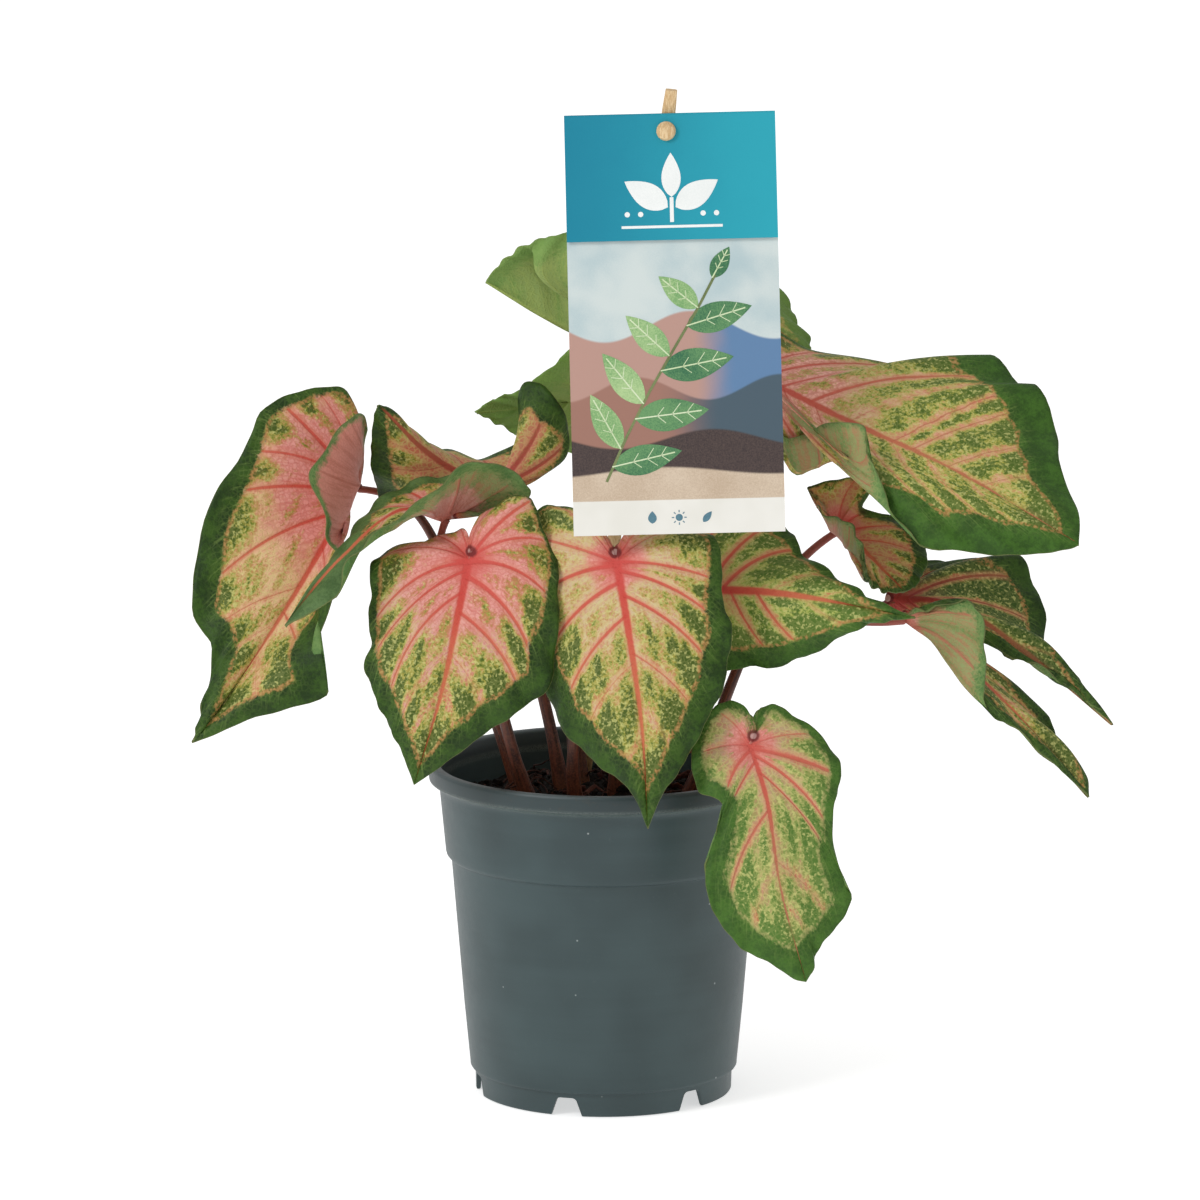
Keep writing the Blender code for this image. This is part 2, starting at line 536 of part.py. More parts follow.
def make_soil(mat):
    floor = BASE_HEIGHT + POT_WALL + TOUCH
    step = BAND_FOOT_HEIGHT
    profile = [
        (0, floor), (pot_wall_inside(floor + 1) - 1.5, floor),
        (pot_wall_inside(floor + 2) - SOIL_GAP, floor + 2),
        (pot_wall_inside(step - 1.4) - SOIL_GAP, step - 1.4),
        (pot_wall_inside(step + 1.6) - SOIL_GAP, step + 1.6),
        (pot_wall_inside(SOIL_EDGE_HEIGHT) - SOIL_GAP, SOIL_EDGE_HEIGHT),
    ]
    edge = profile[-1][0]
    for t in (0.85, 0.6, 0.3, 0):
        height = SOIL_EDGE_HEIGHT + (SOIL_MIDDLE_HEIGHT - SOIL_EDGE_HEIGHT) * (1 - t * t)
        profile.append((edge * t, height))
    soil = turned("soil", profile, SOIL_STEPS, mat)
    cut(soil, add_helper("tuber_cutter", tuber_shape(TOUCH)))
    return soil


def make_blade(name, leaf, mat):
    """A blade bent from a flat grid, half veins across and veins along."""
    blade = Blade(leaf)
    bm = bmesh.new()
    bmesh.ops.create_grid(bm, x_segments=2 * BLADE_ROWS, y_segments=BLADE_COLUMNS, size=1)
    for v in bm.verts:
        share, vein = abs(v.co.x), (v.co.y + 1) / 2 * Blade.TIP
        v.co = blade.at(vein, share, 1 if v.co.x >= 0 else -1)
    bmesh.ops.remove_doubles(bm, verts=bm.verts, dist=BLADE_WELD)
    bmesh.ops.triangulate(bm, faces=bm.faces, quad_method="SHORT_EDGE")
    obj = add_mesh(name, bm, mat)
    solidify = obj.modifiers.new("Thickness", "SOLIDIFY")
    solidify.thickness = BLADE_THICKNESS * MM
    solidify.offset = 0
    return obj


def stem_root(leaf):
    """Where a stem stands on the tuber, and the direction it leaves it."""
    x, y = leaf["root"]
    lean = unit(np.array([x * STEM_SPREAD, y * STEM_SPREAD, 1.0]))
    across = math.hypot(x, y) / TUBER_RADIUS
    height = TUBER_MIDDLE_HEIGHT + TUBER_HALF_HEIGHT * math.sqrt(1 - across**2)
    return np.array([x, y, height + 2 * TOUCH]), lean


def stem_path(leaf):
    """Points of a stem from the tuber to just under its blade."""
    blade = Blade(leaf)
    root, lean = stem_root(leaf)
    up = blade.up_at_stem()
    end = blade.midrib[0] - up * (BLADE_THICKNESS / 2 + leaf.get("gap", STEM_GAP))
    bend = root + lean * STEM_STRAIGHT
    arrive = unit(up + np.array(leaf.get("arrive", (0, 0, 0))))
    reach = np.linalg.norm(end - bend)
    handles = [bend, bend + lean * reach * leaf.get("rise", STEM_RISE),
               end - arrive * reach * 0.3, end]
    t = np.linspace(0, 1, STEM_POINTS - 1)[:, None]
    curve = (handles[0] * (1 - t) ** 3 + 3 * handles[1] * t * (1 - t) ** 2
             + 3 * handles[2] * t * t * (1 - t) + handles[3] * t**3)
    return np.vstack([root, curve])


def make_stem(name, leaf, mat):
    path = stem_path(leaf)
    curve = bpy.data.curves.new(name, "CURVE")
    curve.dimensions = "3D"
    curve.bevel_depth = MM
    curve.bevel_resolution = 2
    curve.use_fill_caps = True
    spline = curve.splines.new("POLY")
    spline.points.add(len(path) - 1)
    for point, place, t in zip(spline.points, path, np.linspace(0, 1, len(path))):
        point.co = (*(place * MM), 1)
        point.radius = STEM_BASE_RADIUS + (STEM_TOP_RADIUS - STEM_BASE_RADIUS) * t**0.8
    return add_object(name, curve, mat)


def rod(name, start, end, radius, segments=12):
    """A round helper between two points."""
    start, end = Vector(start), Vector(end)
    bm = bmesh.new()
    bmesh.ops.create_cone(bm, cap_ends=True, segments=segments, radius1=radius, radius2=radius,
                          depth=(end - start).length)
    bmesh.ops.transform(bm, verts=bm.verts, matrix=(end - start).to_track_quat("Z", "Y")
                        .to_matrix().to_4x4())
    bmesh.ops.translate(bm, verts=bm.verts, vec=(start + end) / 2)
    return add_helper(name, bm)


def card_frame():
    """The card's own axes, from the middle of its hole."""
    hole = Vector(seen(*CARD_HOLE_SEEN))
    return (Matrix.Translation(hole) @ Matrix.Rotation(math.radians(CARD_ROLL_DEG), 4, "Y")
            @ Matrix.Rotation(math.radians(-CARD_TILT_DEG), 4, "X"))


def make_card(mat):
    """One sheet folded over at the top, its side view drawn and pulled out to the full width."""
    t = CARD_THICKNESS
    top, low, flap = HOLE_DROP, HOLE_DROP - CARD_HEIGHT, HOLE_DROP - FLAP_HEIGHT
    back, inner, front = t, 0, -FOLD_GAP - t
    outline = [
        (back, low), (back, top - 2 * FOLD_ROUND), (back - FOLD_ROUND, top - FOLD_ROUND / 2),
        (-FOLD_GAP / 2, top), (front + FOLD_ROUND, top - FOLD_ROUND / 2),
        (front, top - 2 * FOLD_ROUND), (front, flap), (front + t, flap),
        (front + t, top - 2 * t), (inner, top - 2 * t), (inner, low),
    ]
    bm = bmesh.new()
    left = [bm.verts.new((-CARD_WIDTH / 2, y, z)) for y, z in outline]
    face = bm.faces.new(left)
    pulled = bmesh.ops.extrude_face_region(bm, geom=[face])
    moved = [v for v in pulled["geom"] if isinstance(v, bmesh.types.BMVert)]
    bmesh.ops.translate(bm, verts=moved, vec=(CARD_WIDTH, 0, 0))
    bmesh.ops.recalc_face_normals(bm, faces=bm.faces)
    bmesh.ops.translate(bm, verts=bm.verts, vec=(CARD_MIDDLE, 0, 0))
    bmesh.ops.transform(bm, verts=bm.verts, matrix=card_frame())
    card = add_mesh("label_card", bm, mat)
    frame = card_frame()
    cut(card, rod("hole_cutter", frame @ Vector((0, -6, 0)), frame @ Vector((0, 6, 0)),
                  HOLE_RADIUS, 20))
    return card


def stick_ends():
    """The stick's foot, its top, and where it passes the card's hole."""
    frame = card_frame()
    seat = frame @ Vector((0, CARD_THICKNESS + STICK_BACK + STICK_DEPTH / 2, 0))
    foot = Vector(STICK_FOOT)
    way = (seat - foot).normalized()
    return foot, seat + way * STICK_ABOVE_HOLE, seat


def bar(start, end, width, depth):
    """A straight flat bar between two points in a bmesh, its width along X."""
    start, end = Vector(start), Vector(end)
    way = (end - start).normalized()
    side = Vector((1, 0, 0)) - way * way.x
    side.normalize()
    turn = Matrix((side, way.cross(side), way)).transposed().to_4x4()
    bm = bmesh.new()
    bmesh.ops.create_cube(bm, size=1)
    bmesh.ops.scale(bm, vec=(width, depth, (end - start).length), verts=bm.verts)
    bmesh.ops.transform(bm, verts=bm.verts, matrix=turn)
    bmesh.ops.translate(bm, verts=bm.verts, vec=(start + end) / 2)
    return bm


def make_stick(mat):
    """A flat bamboo stick with a peg that goes through the card's hole."""
    foot, top, seat = stick_ends()
    shape = bar(foot, top, STICK_WIDTH, STICK_DEPTH)
    bmesh.ops.bevel(shape, geom=shape.edges[:], offset=STICK_EDGE, segments=1, affect="EDGES")
    stick = add_mesh("label_stick", shape, mat)
    peg = rod("peg", seat, card_frame() @ Vector((0, -PEG_REACH, -TOUCH)), PEG_RADIUS)
    combine(stick, peg, "UNION")
    return stick


def open_stem_holes(soil, leaves):
    """Plain holes in the soil round the stems and the stick."""
    for name, leaf in leaves.items():
        root, lean = stem_root(leaf)
        low, high = root - lean * STEM_BASE_RADIUS, root + lean * (STEM_STRAIGHT - 1)
        cut(soil, rod("hole_" + name, low, high, STEM_BASE_RADIUS + TOUCH, 10))
    foot, top, _ = stick_ends()
    way = (top - foot).normalized()
    hole = bar(foot - way * TOUCH, foot + way * STICK_HOLE_LENGTH,
               STICK_WIDTH + 2 * TOUCH, STICK_DEPTH + 2 * TOUCH)
    cut(soil, add_helper("stick_hole", hole))


def centre_on_origin():
    """Parents every piece to one empty, moved so that the whole plant's box stands centred on
    the origin."""
    bpy.context.view_layer.update()
    graph = bpy.context.evaluated_depsgraph_get()
    low, high = np.full(3, np.inf), np.full(3, -np.inf)
    pieces = list(bpy.data.objects)
    for obj in bpy.data.collections["caladium"].objects:
        shape = obj.evaluated_get(graph)
        mesh = shape.to_mesh()
        places = np.array([v.co for v in mesh.vertices])
        low, high = np.minimum(low, places.min(0)), np.maximum(high, places.max(0))
        shape.to_mesh_clear()
    plant = bpy.data.objects.new("plant", None)
    bpy.context.scene.collection.objects.link(plant)
    plant.location = (-(low[0] + high[0]) / 2, -(low[1] + high[1]) / 2, -low[2])
    for obj in pieces:
        obj.parent = plant
    print("pot axis at", tuple(round(v, 5) for v in plant.location))


def main():
    clear_scene()
    make_pot(material("pot plastic", (0.085, 0.118, 0.127), 0.45))
    soil = make_soil(material("soil", (0.02, 0.012, 0.008), 0.95))
    make_tuber(material("tuber skin", (0.12, 0.07, 0.04), 0.85))
    green = material("leaf", (0.16, 0.22, 0.06), 0.5)
    brown = material("stem", (0.13, 0.04, 0.02), 0.5)
    for name, leaf in LEAVES.items():
        make_blade("leaf_" + name, leaf, green)
        make_stem("stem_" + name, leaf, brown)
    make_card(material("card", (0.35, 0.5, 0.52), 0.5))
    make_stick(material("bamboo", (0.62, 0.44, 0.26), 0.6))
    open_stem_holes(soil, LEAVES)
    centre_on_origin()


main()
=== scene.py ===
"""Looks of the potted caladium: fine leaves, stems, soil, pot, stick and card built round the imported
model, each with a procedural material. Lengths are in mm from the pot's axis until a mesh is made."""

import math

import bmesh
import bpy
import numpy as np
from mathutils import Matrix, Vector, noise


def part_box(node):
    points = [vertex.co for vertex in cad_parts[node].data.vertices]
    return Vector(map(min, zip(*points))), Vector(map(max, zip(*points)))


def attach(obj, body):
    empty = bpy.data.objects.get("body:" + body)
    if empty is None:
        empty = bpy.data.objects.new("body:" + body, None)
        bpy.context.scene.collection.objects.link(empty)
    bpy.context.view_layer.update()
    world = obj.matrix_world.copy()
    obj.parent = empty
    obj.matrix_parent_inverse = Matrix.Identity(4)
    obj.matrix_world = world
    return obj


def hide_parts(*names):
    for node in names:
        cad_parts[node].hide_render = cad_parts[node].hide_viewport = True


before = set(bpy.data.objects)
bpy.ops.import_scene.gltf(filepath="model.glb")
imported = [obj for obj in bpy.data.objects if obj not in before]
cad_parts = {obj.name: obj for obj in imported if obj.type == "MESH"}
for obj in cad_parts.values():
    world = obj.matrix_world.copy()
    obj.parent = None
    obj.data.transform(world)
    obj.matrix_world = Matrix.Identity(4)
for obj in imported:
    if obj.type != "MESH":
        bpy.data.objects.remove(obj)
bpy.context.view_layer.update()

MM = 0.001
POT_LOW, POT_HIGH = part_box("pot")
AXIS = np.array([(POT_LOW.x + POT_HIGH.x) / 2, (POT_LOW.y + POT_HIGH.y) / 2, 0])

# The viewpoint of the photo, in mm, and its size in pixels.
VIEW_DISTANCE = 3000.0
VIEW_HEIGHT = 757.0
VIEW_PITCH = math.radians(11.05)
VIEW_FOCAL_PX = 8933.0
VIEW_MIDDLE_PX = 600.0
POT_AXIS_PX = 603.7
SENSOR_MM = 36.0

# Blades and stems, as in the model.
VEIN_STARTS = (0, 0, 0, 0, 0, 0.015, 0.07, 0.17, 0.33, 0.52, 0.74, 1)
VEIN_SAG = 0.07
CREST_SHARE = 2 / 3
BLADE_THICKNESS = 0.8
STEM_BASE_RADIUS = 2.5
STEM_TOP_RADIUS = 1.25
STEM_STRAIGHT = 29.0
STEM_RISE = 0.45
STEM_SPREAD = 0.016
TUBER_RADIUS = 34.0
TUBER_HALF_HEIGHT = 13.0
TUBER_MIDDLE_HEIGHT = 74.0


def seen(across, down, depth):
    """The place in mm of a point at pixel (across, down), depth mm behind the pot's axis."""
    ahead = np.array([0, math.cos(VIEW_PITCH), -math.sin(VIEW_PITCH)])
    up = np.array([0, math.sin(VIEW_PITCH), math.cos(VIEW_PITCH)])
    eye = np.array([(VIEW_MIDDLE_PX - POT_AXIS_PX) * VIEW_DISTANCE / VIEW_FOCAL_PX,
                    -VIEW_DISTANCE, VIEW_HEIGHT])
    ray = ahead + np.array([1, 0, 0]) * (across - VIEW_MIDDLE_PX) / VIEW_FOCAL_PX
    ray = ray - up * (down - VIEW_MIDDLE_PX) / VIEW_FOCAL_PX
    return eye + ray * (depth - eye[1]) / ray[1]


# LEAVES

# The leaves, as measured on the photo: (pixels across, pixels down, mm behind the pot's axis).
# midrib: stem end, one third, two thirds, tip. notch: the bottom of the notch between the lobes.
# first and second: margin points after their vein number, on each half. The first half is on the
# viewer's left on a leaf that hangs down with its upper side to the viewer. crests: where the half
# blade bends over, two thirds of the way to the margin, on leaves that do so. puff: mm that a half
# bulges upwards.
# root: where the stem leaves the tuber, in mm from the pot's axis. Where they are given, rise and
# arrive say how far the stem keeps its first direction and what it turns towards under the blade,
# and gap is the room under a blade that is creased there.
LEAVES = {
    "front_left": dict(
        midrib=((469, 560, -46), (456, 625, -54), (441, 695, -60), (414, 785, -64)),
        notch=(474, 547, -44), puff=(2.5, 2.5), root=(-19, -15),
        first={1.3: (458, 529, -36), 2.0: (438, 538, -33), 3.0: (404, 546, -35),
               4: (374, 560, -41), 5: (370, 598, -46), 6: (370, 640, -51), 7: (366, 672, -55),
               8: (379, 705, -58), 9: (392, 732, -61), 10: (404, 757, -63)},
        second={1.3: (484, 515, -36), 2.0: (504, 500, -38), 2.8: (531, 499, -39),
                3.6: (542, 527, -41), 4.4: (555, 556, -43), 5.2: (559, 588, -48),
                6.1: (557, 635, -53), 7: (551, 682, -57), 8: (522, 709, -60), 9: (487, 732, -62),
                10: (447, 762, -64)}),
    "front_centre": dict(
        midrib=((617, 562, -50), (631, 645, -62), (643, 735, -72), (648, 829, -79)),
        notch=(614, 547, -48), puff=(2.5, 2.5), root=(-7, -21),
        first={1.3: (588, 520, -40), 2.6: (549, 505, -32), 3.4: (531, 522, -32),
               4.2: (528, 560, -36), 5.2: (532, 615, -40), 6.2: (541, 665, -47),
               7: (552, 708, -55), 8: (574, 742, -63), 9: (604, 769, -70), 10: (631, 791, -76)},
        second={1.3: (640, 528, -44), 2.0: (668, 530, -41), 2.8: (705, 533, -43),
                3.6: (720, 549, -49), 4.6: (722, 595, -55), 5.4: (731, 625, -59),
                6.2: (729, 660, -63), 7: (721, 692, -67), 8: (702, 730, -71),
                9: (681, 768, -75), 10: (661, 797, -78)}),
    "low_right": dict(
        midrib=((750, 745, -62), (768, 805, -70), (781, 890, -80), (806, 982, -84)),
        notch=(755, 731, -61), puff=(1.5, 1.5), root=(9, -20),
        first={1.0: (751, 713, -60), 1.6: (738, 703, -59), 2.4: (718, 704, -59),
               3.2: (699, 728, -60), 4: (691, 762, -64), 4.8: (700, 792, -68),
               5.5: (722, 805, -72), 6: (716, 832, -74), 6.8: (705, 872, -76),
               7.8: (715, 914, -79), 8.8: (740, 947, -81), 9.8: (772, 964, -83),
               10.5: (794, 979, -84)},
        second={1.0: (759, 710, -58), 1.6: (770, 704, -56), 2.4: (790, 713, -55),
                3.2: (818, 733, -56), 4: (838, 760, -60), 4.8: (840, 786, -65),
                5.3: (834, 801, -68), 6.2: (835, 850, -72), 6.9: (843, 882, -75),
                7.4: (852, 896, -76), 8.2: (840, 922, -78), 9.2: (818, 950, -81),
                10.2: (813, 970, -83)}),
    "centre_right": dict(
        midrib=((700, 590, -30), (765, 592, -37), (835, 602, -43), (916, 618, -48)),
        notch=(688, 588, -28), puff=(2, 2), root=(3, -11),
        first={1.3: (678, 610, -27), 2.6: (684, 645, -27), 4: (708, 668, -30),
               5.2: (745, 668, -34), 6.2: (782, 665, -38), 7.2: (815, 652, -41),
               8.4: (855, 630, -45), 9.4: (880, 622, -47), 10.3: (898, 620, -48)},
        second={1.3: (676, 570, -24), 2.6: (684, 535, -14), 4: (722, 512, -8),
                5.2: (772, 512, -10), 6: (792, 533, -16), 6.8: (801, 551, -22),
                7.8: (828, 571, -32), 8.8: (857, 590, -41), 9.6: (874, 600, -45),
                10.3: (893, 608, -47)}),
    "right_big": dict(
        midrib=((752, 374, 4), (845, 420, -12), (955, 471, -29), (1079, 545, -46)),
        notch=(741, 366, 6), puff=(2, 1), root=(4, 7),
        first={1.3: (757, 398, -2), 2.2: (784, 436, -10), 2.8: (806, 434, -16),
               3.5: (830, 422, -26), 4.2: (861, 426, -36), 4.9: (868, 450, -38),
               5.6: (884, 492, -39), 6.4: (900, 523, -41), 7.2: (926, 548, -43),
               8: (964, 551, -45), 8.8: (1003, 556, -47), 9.6: (1043, 553, -48),
               10.4: (1071, 549, -47)},
        second={1.3: (735, 345, 12), 2.6: (752, 318, 20), 3.8: (792, 340, 28),
                4.6: (842, 358, 31), 5.3: (897, 363, 31), 5.9: (925, 379, 26),
                6.5: (958, 373, 22), 7.1: (992, 358, 18), 7.7: (1022, 384, 8),
                8.1: (1037, 387, 2), 8.8: (1056, 430, -10), 9.5: (1061, 470, -24),
                10.2: (1078, 512, -37)},
        crests={"first": {2.2: (790, 470, -10), 2.8: (808, 467, -14), 3.5: (830, 459, -20),
                          4.2: (846, 456, -28), 4.9: (862, 472, -33)}}),
    "right_small": dict(
        midrib=((838, 529, 8), (860, 548, 0), (884, 572, -6), (904, 592, -10)),
        notch=(833, 521, 9), puff=(0.5, 1), root=(22, -8), arrive=(1.6, 0, 0.3),
        first={1.2: (816, 507, 2), 2.2: (829, 516, -6), 3.4: (848, 522, -12),
               4.6: (859, 540, -15), 5.8: (863, 562, -16), 7: (868, 580, -15),
               8.4: (878, 590, -13), 10: (893, 593, -11)},
        second={1.2: (822, 503, 10), 2.2: (809, 487, 12), 3.0: (838, 479, 16),
                3.8: (866, 479, 18), 4.3: (872, 489, 17), 4.8: (863, 507, 13),
                5.4: (890, 516, 15), 6.4: (921, 533, 10), 7.6: (927, 560, 2),
                8.8: (920, 580, -5), 10: (912, 589, -9)},
        crests={"first": {2.2: (832, 532, 0), 3.4: (846, 547, -5), 4.6: (857, 561, -9),
                          5.8: (866, 580, -12)}}),
    "right_far": dict(
        midrib=((893, 599, 0), (950, 604, -6), (1026, 653, -14), (1113, 725, -12)),
        notch=(885, 598, 1), puff=(1, 2.5), root=(13, 6), gap=1.6, rise=0.75, arrive=(1.6, 0, 0.1),
        first={1.3: (884, 607, 1), 2.6: (896, 620, 0), 4: (922, 622, -3),
               5.5: (954, 622, -8), 6.8: (986, 639, -14), 7.8: (1010, 656, -17),
               8.8: (1036, 665, -18), 9.8: (1070, 688, -15), 10.5: (1092, 706, -13)},
        second={1.3: (892, 580, 6), 2.6: (908, 562, 14), 3.8: (945, 562, 22),
                5: (990, 560, 24), 5.8: (1020, 558, 21), 6.6: (1036, 588, 14),
                7.4: (1046, 622, 6), 8.2: (1045, 652, -4), 8.8: (1063, 660, -10),
                9.5: (1078, 680, -12), 10.3: (1097, 705, -12)}),
    "right_low": dict(
        midrib=((905, 618, -20), (948, 650, -26), (1006, 705, -34), (1089, 797, -40)),
        notch=(899, 614, -19), puff=(1.5, 1.5), root=(14, -3), rise=0.75, arrive=(3, 0, -0.3),
        first={1.3: (912, 611, -23), 2.6: (936, 608, -28), 3.8: (966, 601, -33),
               4.8: (980, 614, -37), 5.8: (986, 650, -39), 6.6: (984, 690, -40),
               7.4: (990, 714, -41), 8.4: (1012, 727, -42), 9.4: (1046, 757, -42),
               10.3: (1074, 783, -41)},
        second={1.3: (909, 610, -19), 2.6: (930, 614, -17), 3.8: (958, 624, -15),
                4.8: (978, 645, -14), 5.8: (993, 677, -16), 6.6: (1018, 698, -19),
                7.4: (1045, 711, -22), 8.2: (1055, 735, -26), 9: (1066, 757, -31),
                9.7: (1081, 768, -35), 10.4: (1088, 784, -38)}),
    "mid_left": dict(
        midrib=((446, 519, -24), (400, 511, -34), (344, 556, -50), (285, 626, -64)),
        notch=(455, 514, -23), puff=(1, 1), root=(-20, -6),
        first={1.3: (466, 503, -17), 2.6: (488, 490, -13), 4: (474, 478, -9),
               5.4: (430, 477, -9), 6.4: (398, 488, -13), 7.4: (370, 508, -21),
               8.4: (352, 532, -32), 9.4: (334, 557, -43), 10.3: (308, 590, -56)},
        second={1.2: (474, 511, -27), 2.0: (504, 508, -28), 2.8: (530, 494, -28),
                3.6: (516, 474, -30), 4.4: (482, 461, -36), 5.2: (452, 474, -41),
                6: (425, 499, -47), 6.8: (392, 521, -52), 7.8: (362, 547, -57),
                8.6: (345, 566, -61), 9.4: (335, 598, -65), 10.2: (308, 614, -66)}),
    "left": dict(
        midrib=((358, 487, 0), (307, 575, -20), (253, 660, -36), (192, 743, -48)),
        notch=(357, 470, 1), puff=(3, 1), root=(-22, 4), rise=0.7, arrive=(-3, -1.6, 0),
        first={1.2: (350, 418, 6), 1.9: (343, 389, 6), 2.8: (298, 392, 2), 3.6: (262, 411, -4),
               4.4: (241, 455, -12), 5.2: (208, 508, -20), 6: (194, 575, -27),
               6.7: (194, 618, -32), 7.4: (211, 645, -36), 8.2: (209, 682, -41),
               9: (201, 712, -45), 10: (196, 731, -48)},
        second={1.2: (363, 440, -5), 1.9: (366, 416, -12), 2.7: (344, 422, -22),
                3.3: (328, 449, -29), 3.9: (309, 471, -35), 4.5: (321, 500, -38),
                5.2: (326, 533, -39), 5.9: (338, 556, -41), 6.6: (334, 600, -43),
                7.3: (314, 652, -45), 7.9: (322, 678, -49), 8.3: (328, 694, -50),
                8.9: (292, 708, -50), 9.6: (250, 719, -50), 10.3: (215, 735, -49)},
        crests={"second": {1.9: (364, 440, -6), 2.7: (361, 452, -8), 3.3: (357, 470, -11),
                           3.9: (355, 489, -14), 4.5: (350, 510, -17), 5.2: (342, 530, -22)}}),
    "upper_left": dict(
        midrib=((496, 487, 0), (456, 471, -6), (418, 445, -12), (378, 405, -16)),
        notch=(506, 484, 1), puff=(2, 2), root=(-11, -1), gap=2,
        first={1.3: (538, 478, 6), 2.0: (566, 452, 10), 2.7: (567, 420, 12),
               3.4: (543, 385, 15), 3.9: (525, 383, 18), 4.5: (520, 415, 21),
               5.1: (518, 443, 22), 6: (478, 457, 19), 7: (440, 449, 12),
               8: (420, 442, 4), 9: (401, 426, -4), 10.2: (386, 408, -13)},
        second={1.3: (502, 497, 2), 2.6: (488, 503, 4), 4: (462, 505, 6),
                5.4: (430, 503, 6), 6.4: (400, 502, 3), 7.2: (380, 497, -2),
                8: (373, 474, -8), 9: (371, 445, -13), 10: (374, 416, -16)}),
    "back_left": dict(
        midrib=((598, 396, 50), (557, 402, 42), (517, 408, 32), (475, 412, 20)),
        notch=(607, 396, 51), puff=(-2, -2), root=(-7, 17),
        first={1.3: (614, 410, 52), 2.6: (612, 436, 52), 4: (588, 452, 48),
               5.5: (556, 452, 41), 7: (524, 439, 33), 8.5: (501, 426, 27), 10: (484, 417, 22)},
        second={1.3: (614, 380, 49), 2.6: (612, 352, 46), 4: (588, 340, 42),
                5.4: (562, 357, 37), 6.4: (540, 376, 32), 7.4: (517, 391, 28),
                8.6: (498, 397, 24), 10: (484, 405, 21)}),
    "top_left": dict(
        midrib=((640, 350, 22), (590, 338, 16), (540, 314, 10), (486, 281, 4)),
        notch=(648, 350, 23), puff=(1, 2), root=(-6, 7),
        first={1.3: (660, 335, 31), 2.6: (664, 300, 42), 4: (640, 258, 50),
               5.5: (592, 243, 46), 7: (550, 250, 34), 8.5: (520, 263, 20), 10: (498, 275, 9)},
        second={1.3: (660, 338, 14), 2.6: (664, 305, 5), 4: (640, 245, -4),
                5.5: (585, 232, -7), 7: (543, 238, -6), 8.5: (516, 251, -3), 10: (497, 267, 1)},
        crests={"second": {4: (612, 300, 2), 5.5: (570, 285, -1), 7: (540, 278, -1)}}),
    "top_right": dict(
        midrib=((700, 280, 56), (735, 300, 50), (768, 325, 44), (806, 353, 38)),
        notch=(690, 276, 57), puff=(2, 2), root=(9, 16),
        first={1.3: (682, 292, 52), 2.6: (684, 325, 44), 4: (708, 348, 38),
               5.5: (740, 360, 35), 7: (766, 364, 34), 8.5: (786, 361, 35), 10: (799, 357, 37)},
        second={1.3: (684, 255, 63), 2.6: (698, 228, 70), 4: (735, 232, 72),
                5.3: (768, 268, 66), 6.1: (781, 291, 61), 7: (794, 311, 56),
                7.8: (796, 324, 51), 8.6: (807, 336, 46), 9.4: (811, 346, 42),
                10.3: (809, 352, 39)}),
}


def unit(v):
    """Vectors in the same directions with a length of 1."""
    return v / np.maximum(np.linalg.norm(v, axis=-1, keepdims=True), 1e-9)


def through(knots, points, at):
    """A smooth curve through points at uneven knots, read at values between the end knots."""
    knots, p = np.asarray(knots, float), np.asarray(points, float)
    step = np.diff(knots)[:, None]
    slope = np.diff(p, axis=0) / step
    tangent = np.vstack([slope[:1], (slope[:-1] * step[1:] + slope[1:] * step[:-1])
                         / (step[1:] + step[:-1]), slope[-1:]])
    at = np.clip(np.asarray(at, float), knots[0], knots[-1])
    i = np.clip(np.searchsorted(knots, at, side="right") - 1, 0, len(knots) - 2)
    t = ((at - knots[i]) / step[i, 0])[..., None]
    a, b = p[i], p[i + 1]
    ta, tb = tangent[i] * step[i], tangent[i + 1] * step[i]
    return (a * (1 + 2 * t) * (1 - t) ** 2 + b * t * t * (3 - 2 * t)
            + ta * t * (1 - t) ** 2 - tb * t * t * (1 - t))


